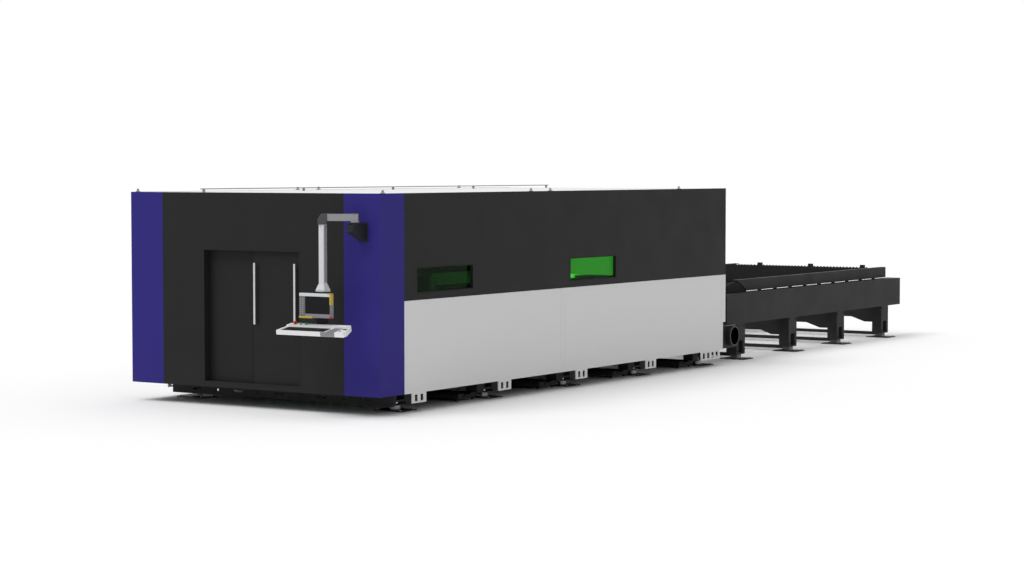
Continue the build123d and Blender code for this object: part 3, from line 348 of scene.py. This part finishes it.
elbow_half, elbow_low, elbow_top = 0.054, 2.2245, 2.347
mitre_foot, mitre_inset = 2.285, 0.012
mitre = [(reach - elbow_half, elbow_low), (reach + elbow_half, elbow_low), (reach + elbow_half, mitre_foot),
         (reach + mitre_inset, elbow_top), (reach - elbow_half, elbow_top)]
elbow = piece("elbow_casting", [along_arm(prism(mitre, 1, -0.052, 0.052))],
              "arm", elbow_coat, bevel=0.006)
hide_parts("arm_elbow")
# The thin darker strip on the column's right side face is painted shade: that face is darker only because
# less light falls on it.
column_shade_coat = coat("column_shade_coat", (136, 137, 140), rough=0.45, specular=0.25, mottle=0.04,
                 grain=1500.0, bump=0.03)
strip_half, strip_low, strip_high = 0.024, 1.56, 2.215
painted_shade_strip = block((column_x + 0.0376, column_y - strip_half, strip_low),
                    (column_x + 0.0384, column_y + strip_half, strip_high))
piece("column_cover_strip", [painted_shade_strip], "operator_panel", column_shade_coat, bevel=0.0003)
arm_top = np.array([0.0, 0.0, 2.345])
hub_cap = [(0.046, 0.0), (0.046, 0.004), (0.038, 0.009), (0.014, 0.011)]
piece("pivot_cap", [lathe(hub_cap, pivot + arm_top, 2)], "arm", elbow_coat)

# Wall bracket: a back plate and a tapered welded console in black paint, screwed to the corner column.
# The arm's pivot turns in a round bearing on top of the console.
back_plate, console_reach, console_top = 0.012, 0.262, 2.229
console = [(door_face - back_plate, 2.030), (door_face - back_plate, console_top),
           (door_face - 0.215, console_top), (door_face - console_reach, 2.205),
           (door_face - console_reach, 2.140)]
bearing = [(0.058, 2.2285), (0.060, 2.231), (0.060, 2.245), (0.058, 2.247)]
bracket = [block((1.600, door_face - back_plate, 2.022), (1.728, door_face, 2.240)),
           prism(console, 0, 1.612, 1.704), lathe(bearing, pivot, 2, 32)]
bracket_coat = coat("bracket_coat", (38, 40, 42), rough=0.5, specular=0.12, mottle=0.06,
                    grain=500.0, bump=0.12)
bracket_piece = piece("wall_bracket", bracket, "frame", bracket_coat, bevel=0.003)
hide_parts("panel_bracket")

# Display: a cast aluminium case with a top edge painted lighter as a painted highlight, a wide key strip at
# its left painted darker as painted shade, and a thin right edge. Yellow guards sit on its corners, with a
# red one, and it hangs on a black welded neck.
display_y = door_face - 0.47
display_left, display_right, display_low = 1.093, 1.540, 1.159
screen_left, face_depth = 1.178, 0.013


def on_display(low, high):
    """Box between two corners, with y counted back from the display's face."""
    face = np.array([0.0, display_y, 0.0])
    return block(low + face, high + face)


screen_glass = coat("screen_glass", (30, 30, 32), rough=0.55, specular=0.06, mottle=0.08,
                    grain=60.0, bump=0.01)
dress(["display_screen"], screen_glass)
case_coat = coat("case_coat", (134, 131, 136), rough=0.42, specular=0.25, mottle=0.05, grain=900.0, bump=0.05)
case = [on_display((display_left, 0.012, display_low), (display_right, 0.062, 1.438)),
        on_display((screen_left, 0.0, display_low), (display_right, face_depth, 1.204)),
        on_display((1.533, 0.0, 1.203), (display_right, face_depth, 1.404))]
case_piece = piece("display_case", case, "operator_panel", case_coat, bevel=0.0015)
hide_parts("display_housing")
# The top edge is the case's own aluminium, given a lighter grey as a painted highlight of the light on top.
highlight_top_edge = on_display((display_left, -0.002, 1.403), (display_right, 0.050, 1.4395))
piece("display_top_edge", [highlight_top_edge], "operator_panel", grey_coat, bevel=0.004)
# The key strip is the case's own aluminium, given a darker grey as painted shade.
key_strip_shade_coat = coat("key_strip_shade_coat", (104, 105, 106), rough=0.5, specular=0.2, mottle=0.05, grain=900.0, bump=0.05)
key_strip = on_display((display_left, -0.001, display_low), (screen_left, face_depth, 1.4035))
piece("display_key_strip", [key_strip], "operator_panel", key_strip_shade_coat, bevel=0.002)
first_key, key_pitch, key_half, key_height = 1.192, 0.0245, 0.010, 0.014
keys = []
for column in (1.118, 1.149):
    for row in range(8):
        low = first_key + row * key_pitch
        keys.append(on_display((column - key_half, -0.004, low),
                               (column + key_half, -0.0005, low + key_height)))
key_plastic = coat("key_plastic", (140, 141, 142), rough=0.5, specular=0.3, grain=900.0, bump=0.1)
piece("display_keys", keys, "operator_panel", key_plastic, bevel=0.001)
yellow_guard = coat("yellow_guard", (190, 164, 60), rough=0.45, specular=0.3, mottle=0.06)
corner_guards = [on_display((1.529, -0.003, 1.312), (1.5445, 0.050, 1.436)),
                 on_display((1.500, -0.0035, 1.428), (1.5445, 0.050, 1.4425)),
                 on_display((1.090, -0.004, 1.152), (1.280, 0.045, 1.175))]
piece("display_guards", corner_guards, "operator_panel", yellow_guard, bevel=0.002)
red_plastic = coat("red_plastic", (186, 20, 26), rough=0.35, specular=0.3, mottle=0.05,
                   grain=1200.0, bump=0.02)
red_guard = on_display((1.518, -0.003, 1.154), (1.5435, 0.030, 1.174))
piece("display_red_guard", [red_guard], "operator_panel", red_plastic, bevel=0.002)
neck_left, neck_right = 1.270, 1.420
neck = [on_display((neck_left, 0.062, 1.19), (neck_right, 0.102, 1.4555)),
        on_display((neck_left, 0.022, 1.438), (neck_right, 0.063, 1.4555)),
        on_display((neck_left, 0.0945, 1.015), (neck_right, 0.122, 1.20))]
piece("display_neck", neck, "operator_panel", black_coat, bevel=0.002)

# Keyboard: black moulded base with separate keys in five rows, lying in the tray's recess.
# The tray tilts up towards its back by the same angle as the keys.
tilt = math.radians(10.5)
tray_origin = np.array([0.0, door_face - 0.67, 1.017])


def tilted(shape):
    """Shape drawn flat on the tray's top, with y from its front edge back and z up from it, put in place."""
    corners, faces = shape
    across = np.array([1.0, 0.0, 0.0])
    back = np.array([0.0, math.cos(tilt), math.sin(tilt)])
    up = np.array([0.0, -math.sin(tilt), math.cos(tilt)])
    flat = np.asarray(corners)
    return tray_origin + flat[:, :1] * across + flat[:, 1:2] * back + flat[:, 2:] * up, faces


board_left, board_front, board_length, board_depth = 0.966, 0.020, 0.61, 0.165
recess_floor, base_top, key_top = -0.0197, -0.006, -0.001
rows_inset, rows_length, key_gap = 0.012, 0.586, 0.002
board = [tilted(block((board_left, board_front, recess_floor),
                      (board_left + board_length, board_front + board_depth, base_top)))]
key_rows = ((0.136, 0.014, 23), (0.109, 0.018, 22), (0.082, 0.018, 21), (0.055, 0.018, 20),
            (0.028, 0.018, 19))
for offset, depth, count in key_rows:
    pitch = rows_length / count
    middle = board_front + offset
    for number in range(count):
        left = board_left + rows_inset + number * pitch
        board.append(tilted(block((left + key_gap, middle - depth / 2, base_top),
                                  (left + pitch - key_gap, middle + depth / 2, key_top))))
board_plastic = coat("board_plastic", (24, 24, 26), rough=0.5, specular=0.35, grain=1500.0, bump=0.08)
keyboard = piece("keyboard_keys", board, "operator_panel", board_plastic, bevel=0.001)
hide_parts("keyboard")

# Keyboard tray and hand unit: white moulded tray, with the unit's raised face at its right end.
# The face has a small dark display and a square key, and a grey rest lies between it and the keyboard.
tray_white = coat("tray_white", (226, 226, 227), rough=0.45, specular=0.25, mottle=0.02,
                  grain=1500.0, bump=0.03)
dress(["keyboard_tray"], tray_white, 0.0015)
unit_left, unit_depth = 1.748, 0.194
unit_outline = [(unit_left, 0.004), (1.866, 0.004), (1.866, 0.061), (1.808, unit_depth),
                (unit_left, unit_depth)]
piece("hand_unit_face", [tilted(prism(unit_outline, 2, 0.0, 0.005))],
      "operator_panel", tray_white, bevel=0.0015)
rest_right, rest_top = 1.744, 0.002
rest = [tilted(block((1.610, 0.0, 0.0), (rest_right, unit_depth, rest_top))),
        tilted(block((1.545, -0.0015, -0.050), (rest_right, 0.0, rest_top)))]
piece("hand_rest", rest, "operator_panel", case_coat, bevel=0.0008)
dial_left, dial_low, dial_top = 1.772, 0.004, 0.0065
dials = [tilted(block((dial_left, 0.112, dial_low), (1.822, 0.160, dial_top))),
         tilted(block((dial_left, 0.045, dial_low), (1.796, 0.072, dial_top)))]
piece("hand_unit_display", dials, "operator_panel", screen_glass, bevel=0.0008)

# Emergency stop and green buttons: moulded caps on stems, on the strip behind the keyboard.
# Each is pressed down into its ring, a yellow one round the stop and dark ones round the green.
tray_depth, strip_inset = 0.29, 0.046
strip_middle = tray_depth - strip_inset
stop_x, green_a_x, green_b_x = 1.008, 1.086, 1.164
ring_profile = [(0.0105, 0.0142), (0.017, 0.0142), (0.017, 0.017), (0.014, 0.0185), (0.0105, 0.0185),
                (0.0105, 0.0142)]
rings = [tilted(shell(ring_profile, (ring_x, strip_middle, 0.0), 2)) for ring_x in (green_a_x, green_b_x)]
piece("green_rings", rings, "operator_panel", elbow_coat)
stop_ring_profile = [(0.0145, 0.0142), (0.030, 0.0142), (0.030, 0.016), (0.028, 0.0175), (0.0145, 0.0175),
                     (0.0145, 0.0142)]
piece("stop_ring", [tilted(shell(stop_ring_profile, (stop_x, strip_middle, 0.0), 2, 32))],
      "operator_panel", yellow_guard)
mushroom = [(0.012, 0.0145), (0.012, 0.020), (0.023, 0.024), (0.0245, 0.030), (0.022, 0.037), (0.012, 0.0405),
            (0.0, 0.0415)]
stop = piece("stop_mushroom", [tilted(lathe(mushroom, (stop_x, strip_middle, 0.008), 2, 32))],
             "stop_button", red_plastic, smooth=True)
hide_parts("emergency_stop")
green_plastic = coat("green_plastic", (40, 190, 70), rough=0.28, specular=0.5, mottle=0.05,
                     grain=1200.0, bump=0.02)
cap_profile = [(0.009, 0.0145), (0.009, 0.0190), (0.015, 0.0190), (0.016, 0.0200), (0.016, 0.0245),
               (0.014, 0.0265), (0.0, 0.0270)]
for letter, number, cap_x in (("a", 1, green_a_x), ("b", 2, green_b_x)):
    cap = piece(f"green_cap_{letter}", [tilted(lathe(cap_profile, (cap_x, strip_middle, 0.005), 2))],
                f"green_button_{letter}", green_plastic, smooth=True)
    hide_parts(f"green_button_{number}")

# Door handles: two long brushed steel bars on round standoffs, both on the right leaf.
# The brushing runs along each bar, and patches are duller from handling.


def steel(name, colour, rough, along, dull=0.15):
    """Brushed or ground metal with fine lines along one axis, and duller patches."""
    material = bpy.data.materials.new(name)
    material.use_nodes = True
    tree = material.node_tree
    shader = tree.nodes["Principled BSDF"]
    shader.inputs["Metallic"].default_value = 1.0
    place = tree.nodes.new("ShaderNodeTexCoord")
    stretch = tree.nodes.new("ShaderNodeMapping")
    stretch.inputs["Scale"].default_value = [4.0 if number == along else 500.0 for number in range(3)]
    tree.links.new(place.outputs["Object"], stretch.inputs["Vector"])
    lines = tree.nodes.new("ShaderNodeTexNoise")
    lines.inputs["Scale"].default_value = 1.0
    tree.links.new(stretch.outputs["Vector"], lines.inputs["Vector"])
    patches = tree.nodes.new("ShaderNodeTexNoise")
    patches.inputs["Scale"].default_value = 7.0
    tree.links.new(place.outputs["Object"], patches.inputs["Vector"])
    blend = tree.nodes.new("ShaderNodeMix")
    blend.data_type = "RGBA"
    base = tone(*colour)
    blend.inputs["A"].default_value = base
    blend.inputs["B"].default_value = [c * (1 - dull) for c in base[:3]] + [1.0]
    tree.links.new(patches.outputs["Fac"], blend.inputs["Factor"])
    tree.links.new(blend.outputs["Result"], shader.inputs["Base Color"])
    gloss = tree.nodes.new("ShaderNodeMapRange")
    gloss.inputs["To Min"].default_value = rough - 0.08
    gloss.inputs["To Max"].default_value = rough + 0.10
    tree.links.new(lines.outputs["Fac"], gloss.inputs["Value"])
    tree.links.new(gloss.outputs["Result"], shader.inputs["Roughness"])
    relief = tree.nodes.new("ShaderNodeBump")
    relief.inputs["Strength"].default_value = 0.08
    relief.inputs["Distance"].default_value = 0.0005
    tree.links.new(lines.outputs["Fac"], relief.inputs["Height"])
    tree.links.new(relief.outputs["Normal"], shader.inputs["Normal"])
    return material


handle_steel = steel("handle_steel", (200, 200, 202), 0.32, 2)
dress(["door_handles"], handle_steel, 0.002)

# Levelling pads: turned steel pads with studs, dulled by use, one under each bed leg.
# Each stands on a floor plate and is locked by a hexagon nut.
pad_steel = steel("pad_steel", (150, 151, 153), 0.35, 0)
pad_profile = [(0.060, 0.0), (0.064, 0.004), (0.064, 0.048), (0.058, 0.058), (0.044, 0.064), (0.024, 0.066),
               (0.024, 0.0955)]
nut_profile = [(0.034, 0.070), (0.036, 0.072), (0.036, 0.090), (0.034, 0.092)]
leg_first, leg_pitch, leg_count, leg_x = 0.80, 1.88, 5, 1.53
leg_places = [leg_first + number * leg_pitch for number in range(leg_count)]
floor_plate_top = 0.012
pads, nuts = [], []
for side in (-1, 1):
    for leg_place in leg_places:
        centre = (side * leg_x, door_face + leg_place, floor_plate_top)
        pads.append(lathe(pad_profile, centre, 2, 32))
        nuts.append(lathe(nut_profile, centre, 2, 6))
pads_piece = piece("levelling_feet", pads, "frame", pad_steel)
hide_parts("levelling_pads")
piece("levelling_nuts", nuts, "frame", handle_steel)

# Floor plates: flame-cut steel painted dark, under each bed leg and portal leg,
# with a steel anchor bolt near each corner.
dark_coat = coat("dark_coat", (38, 38, 39), rough=0.55, specular=0.1, dust=0.12, bump=0.12, grain=300.0)
dress(["foot_plates"], dark_coat, 0.002)
portal_places = [9.60, 11.38, 13.16, 14.94]
bolt_x, bolt_y = 0.165, 0.125
bolt_profile = [(0.016, 0.0), (0.016, 0.003), (0.011, 0.003), (0.011, 0.011), (0.009, 0.012)]
anchors = []
for side in (-1, 1):
    for plate_place in leg_places + portal_places:
        for dx in (-bolt_x, bolt_x):
            for dy in (-bolt_y, bolt_y):
                centre = (side * leg_x + dx, door_face + plate_place + dy, floor_plate_top)
                anchors.append(lathe(bolt_profile, centre, 2, 6))
piece("anchor_bolts", anchors, "frame", pad_steel)

# Leg toes: two blocks under each bed leg, cut from plate and welded on, in the bed's paint.
# They stand either side of the leg's levelling pad.
toe_inner, toe_outer, toe_length, toe_low, toe_high = 1.450, 1.610, 0.155, 0.070, 0.110
toes = []
for side in (-1, 1):
    for leg_place in leg_places:
        for start in (-0.250, 0.095):
            toe_start = door_face + leg_place + start
            toes.append(block((side * toe_inner, toe_start, toe_low),
                              (side * toe_outer, toe_start + toe_length, toe_high)))
piece("leg_toes", toes, "frame", bed_coat, bevel=0.003)

# Slag drawers: bent steel sheet on short feet, standing loose between the bed's legs. Their dark grey is
# partly the steel's own and partly painted shade from the bed above.
# Each has a pull of bent strip at its outer end.
# Painted shade: the drawers' grey is darkened for the shade under the bed, on top of the steel's own dark
# tone.
drawer_shaded_steel = coat("drawer_shaded_steel", (46, 46, 47), rough=0.6, specular=0.1, mottle=0.2, grain=200.0, bump=0.2)
dress(["slag_drawer_1", "slag_drawer_2", "slag_drawer_3", "slag_drawer_4"], drawer_shaded_steel, 0.001)
pull_root, pull_bar, pull_end, pull_low, pull_high = 1.619, 1.628, 1.640, 0.062, 0.078
pull_half, pull_inner, drawer_offset = 0.09, 0.075, 0.48
for number in range(1, leg_count):
    middle = door_face + leg_places[number] - drawer_offset
    pull = [block((pull_root, middle - pull_half, pull_low), (pull_end, middle - pull_inner, pull_high)),
            block((pull_root, middle + pull_inner, pull_low), (pull_end, middle + pull_half, pull_high)),
            block((pull_bar, middle - pull_half, pull_low), (pull_end, middle + pull_half, pull_high))]
    piece(f"drawer_pull_{number}", pull, f"drawer_{number}", dark_coat, bevel=0.002)

# Dust duct: black coated sheet box, with a light grey edge along its lid that is a painted highlight on its
# top.
# Its round port has a thin grey ring and a short sleeve closed at its back, near black as painted shade for
# the dark inside of the port.
duct_coat = coat("duct_coat", (40, 40, 42), rough=0.5, specular=0.12, dust=0.1, bump=0.1, grain=400.0)
dress(["dust_duct"], duct_coat, 0.003)
port = (1.72, door_face + 9.165, 0.38)
flange = [(0.131, -0.006), (0.148, -0.006), (0.149, -0.004), (0.149, 0.002), (0.146, 0.004), (0.131, 0.004)]
ring_coat = coat("ring_coat", (66, 66, 68), rough=0.45, specular=0.3, grain=500.0, bump=0.1)
piece("port_flange", [shell(flange, port, 0, 40)], "frame", ring_coat)
# The sleeve and the disc closing its back are near black: painted shade for the inside of the open port.
sleeve = [(0.1295, -0.075), (0.1295, 0.003), (0.124, 0.003), (0.124, -0.070), (0.0, -0.070)]
port_shade_black = coat("port_shade_black", (7, 7, 7), rough=0.9, specular=0.0, grain=300.0, bump=0.2)
piece("port_sleeve", [shell(sleeve, port, 0, 40)], "frame", port_shade_black)
# The lid edge's light grey is a painted highlight of the light falling on the duct's top.
lid = [block((1.462, door_face + 9.06, 0.530), (1.652, door_face + 9.342, 0.534))]
lid_highlight_coat = coat("lid_highlight_coat", (150, 150, 152), rough=0.4, specular=0.3)
piece("duct_lid_highlight", lid, "frame", lid_highlight_coat, bevel=0.001)

# Exchange table: welded beams, portals and runways in charcoal paint, pale machined foot blocks.
# Two hexagon bolts stand at the foot of each portal leg's outer face, and two under the beam.
table_coat = coat("table_coat", (47, 47, 48), rough=0.55, specular=0.08, dust=0.06, bump=0.12, grain=250.0)
dress(["table_beams", "portal_legs", "portal_webs", "portal_ties", "upper_runways", "lower_runways",
       "runway_posts"], table_coat, 0.003)
block_coat = coat("block_coat", (140, 140, 142), rough=0.5, specular=0.3, dust=0.3)
dress(["table_foot_blocks"], block_coat, 0.003)
leg_face, bolt_half_pitch = 1.60, 0.11
portal_bolts = []
for side in (-1, 1):
    head_profile = [(0.013, 0.0), (0.013, side * 0.008), (0.010, side * 0.010)]
    for portal_place in portal_places:
        for dy in (-bolt_half_pitch, bolt_half_pitch):
            for bolt_z in (0.13, 0.50):
                centre = (side * leg_face, door_face + portal_place + dy, bolt_z)
                portal_bolts.append(lathe(head_profile, centre, 0, 6))
piece("portal_bolts", portal_bolts, "frame", dark_coat)

# Sprocket guards: arched sheet covers over the pallet drive, at the table's cabin end.
# They are closed boxes in a flat black coat and stand on the beams.
guard_middle, guard_half, guard_low, guard_rise = 9.74, 0.36, 0.986, 0.160
guard_inner, guard_outer, guard_roundness = 1.385, 1.440, 0.8
arch = [(door_face + guard_middle + guard_half * math.cos(angle),
         guard_low + guard_rise * math.sin(angle) ** guard_roundness)
        for angle in np.linspace(0.0, math.pi, 25)]
guards = [prism(arch, 0, side * guard_inner, side * guard_outer) for side in (-1, 1)]
guard_coat = coat("guard_coat", (25, 25, 26), rough=0.6, specular=0.06, mottle=0.08, grain=300.0, bump=0.1)
piece("sprocket_guards", guards, "frame", guard_coat, bevel=0.003)

# Pallets: dark tube frames with toothed steel slats, and moulded wheels on plain axles.
# The slats are cut from 5 mm sheet and dark from the laser's smoke.
pallet_coat = coat("pallet_coat", (36, 36, 37), rough=0.6, specular=0.08, bump=0.12, grain=250.0)
dress(["upper_pallet_frame", "lower_pallet_frame"], pallet_coat, 0.002)
slat_half, slat_half_sheet, slat_teeth = 1.28, 0.0025, 42
slat_crest, slat_valley = 0.065, 0.047


def slat(y, low):
    """One toothed slat across the machine at y: a saw line of equal teeth between valley and crest."""
    pitch = 2 * slat_half / slat_teeth
    outline = [(-slat_half, low), (slat_half, low)]
    for tooth in range(slat_teeth, 0, -1):
        outline.append((-slat_half + tooth * pitch, low + slat_valley))
        outline.append((-slat_half + (tooth - 0.5) * pitch, low + slat_crest))
    outline.append((-slat_half, low + slat_valley))
    return prism(outline, 1, y - slat_half_sheet, y + slat_half_sheet)


slat_steel = coat("slat_steel", (40, 39, 39), rough=0.7, specular=0.1, mottle=0.35, grain=200.0, bump=0.3)
slat_inset, slat_pitch, slat_count = 0.0925, 0.276, 19
for level_name, slat_low, front in (("upper", 1.120, 9.90), ("lower", 0.840, 2.30)):
    first_slat = door_face + front + slat_inset
    slats = [slat(first_slat + number * slat_pitch, slat_low) for number in range(slat_count)]
    toothed = piece(f"{level_name}_toothed_slats", slats, f"{level_name}_pallet", slat_steel)
    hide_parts(f"{level_name}_pallet_slats")
wheel_plastic = coat("wheel_plastic", (60, 58, 52), rough=0.5, specular=0.35, grain=600.0, bump=0.1)
dress(["upper_pallet_front_wheels", "upper_pallet_rear_wheels", "lower_pallet_front_wheels",
       "lower_pallet_rear_wheels"], wheel_plastic, 0.002)

# Gantry: ground guideways, light grey saddles and carriage, dark motors, brass nozzle.
# It stands over the bed inside the cabin, near the doors.
guide_steel = steel("guide_steel", (175, 176, 178), 0.28, 1)
dress(["gantry_guideways"], guide_steel, 0.001)
dress(["gantry_saddles", "head_carriage", "cutting_head"], grey_coat, 0.003)
dress(["gantry_motors"], elbow_coat, 0.003)
nozzle_brass = steel("nozzle_brass", (205, 165, 95), 0.25, 2)
dress(["nozzle"], nozzle_brass, 0.0005)

# Floor: plain white, keeping the machine's soft shadow.
# It belongs to the picture only, and is wide enough to fill it.
floor_half = 200.0
floor_corners = [(-floor_half, -floor_half, 0), (floor_half, -floor_half, 0), (floor_half, floor_half, 0),
                 (-floor_half, floor_half, 0)]
floor_mesh = bpy.data.meshes.new("studio_floor")
floor_mesh.from_pydata(floor_corners, [], [(0, 1, 2, 3)])
floor = bpy.data.objects.new("studio_floor", floor_mesh)
bpy.context.scene.collection.objects.link(floor)
floor_white = bpy.data.materials.new("floor_white")
floor_white.use_nodes = True
floor_shader = floor_white.node_tree.nodes["Principled BSDF"]
floor_shader.inputs["Base Color"].default_value = (0.96, 0.96, 0.96, 1)
floor_shader.inputs["Roughness"].default_value = 0.9
floor_shader.inputs["Specular IOR Level"].default_value = 0.0
floor_mesh.materials.append(floor_white)

# Light: an even pale sky, white where it is seen, in gloss and through glass, and one broad soft sun
# from the front left, with two narrow work lamps inside the cabin.
world = bpy.data.worlds.new("studio")
bpy.context.scene.world = world
world.use_nodes = True
sky = world.node_tree
backdrop = sky.nodes["Background"]
backdrop.inputs["Color"].default_value = (1, 1, 1, 1)
rays = sky.nodes.new("ShaderNodeLightPath")
seen = sky.nodes.new("ShaderNodeMath")
seen.operation = "MAXIMUM"
sky.links.new(rays.outputs["Is Camera Ray"], seen.inputs[0])
sky.links.new(rays.outputs["Is Transmission Ray"], seen.inputs[1])
glossy = sky.nodes.new("ShaderNodeMath")
glossy.operation = "MAXIMUM"
sky.links.new(seen.outputs["Value"], glossy.inputs[0])
sky.links.new(rays.outputs["Is Glossy Ray"], glossy.inputs[1])
level = sky.nodes.new("ShaderNodeMapRange")
level.inputs["To Max"].default_value = 1.0
sky.links.new(glossy.outputs["Value"], level.inputs["Value"])
sky.links.new(level.outputs["Result"], backdrop.inputs["Strength"])
heights = sky.nodes.new("ShaderNodeTexCoord")
height_parts = sky.nodes.new("ShaderNodeSeparateXYZ")
sky.links.new(heights.outputs["Generated"], height_parts.inputs["Vector"])
dome = sky.nodes.new("ShaderNodeMapRange")
dome.inputs["From Min"].default_value = 0.0
dome.inputs["From Max"].default_value = 1.0
dome.inputs["To Min"].default_value = 0.25
dome.inputs["To Max"].default_value = 0.95
sky.links.new(height_parts.outputs["Z"], dome.inputs["Value"])
sky.links.new(dome.outputs["Result"], level.inputs["To Min"])
sun_data = bpy.data.lights.new("soft_sun", "SUN")
sun_data.energy = 1.35
sun_data.angle = math.radians(35)
sun = bpy.data.objects.new("soft_sun", sun_data)
sun.rotation_euler = Vector((0.25, 0.55, -0.80)).to_track_quat("-Z", "Y").to_euler()
bpy.context.scene.collection.objects.link(sun)
cabin_front = Vector((0.0, door_face, 0.0))
lamps = (("gantry_lamp", 60.0, (1.15, 0.40, 1.50), (1.50, 1.40, 1.55), 60),
         ("rear_lamp", 110.0, (-0.50, 6.20, 1.95), (-0.60, 8.54, 1.72), 44))
for lamp_name, watts, lamp_place, target, cone in lamps:
    lamp_data = bpy.data.lights.new(lamp_name, "SPOT")
    lamp_data.energy = watts
    lamp_data.spot_size = math.radians(cone)
    lamp_data.spot_blend = 0.4
    lamp_data.shadow_soft_size = 0.1
    lamp = bpy.data.objects.new(lamp_name, lamp_data)
    lamp.location = Vector(lamp_place) + cabin_front
    lamp.rotation_euler = (Vector(target) - Vector(lamp_place)).to_track_quat("-Z", "Y").to_euler()
    bpy.context.scene.collection.objects.link(lamp)

# Camera: at the photograph's angle, above head height and far back, with a long lens.
# It looks slightly down, and across the machine from its right front.
degrees_down, degrees_across = 2.973, 32.822
camera_data = bpy.data.cameras.new("camera")
camera_data.lens = 80.71
camera_data.sensor_width = 36.0
camera_data.clip_start, camera_data.clip_end = 1.0, 500.0
camera = bpy.data.objects.new("camera", camera_data)
camera.location = (17.393, -28.693, 2.86)
camera.rotation_euler = (math.radians(90 - degrees_down), 0, math.radians(degrees_across))
bpy.context.scene.collection.objects.link(camera)
bpy.context.scene.camera = camera
bpy.context.scene.view_settings.view_transform = "Standard"
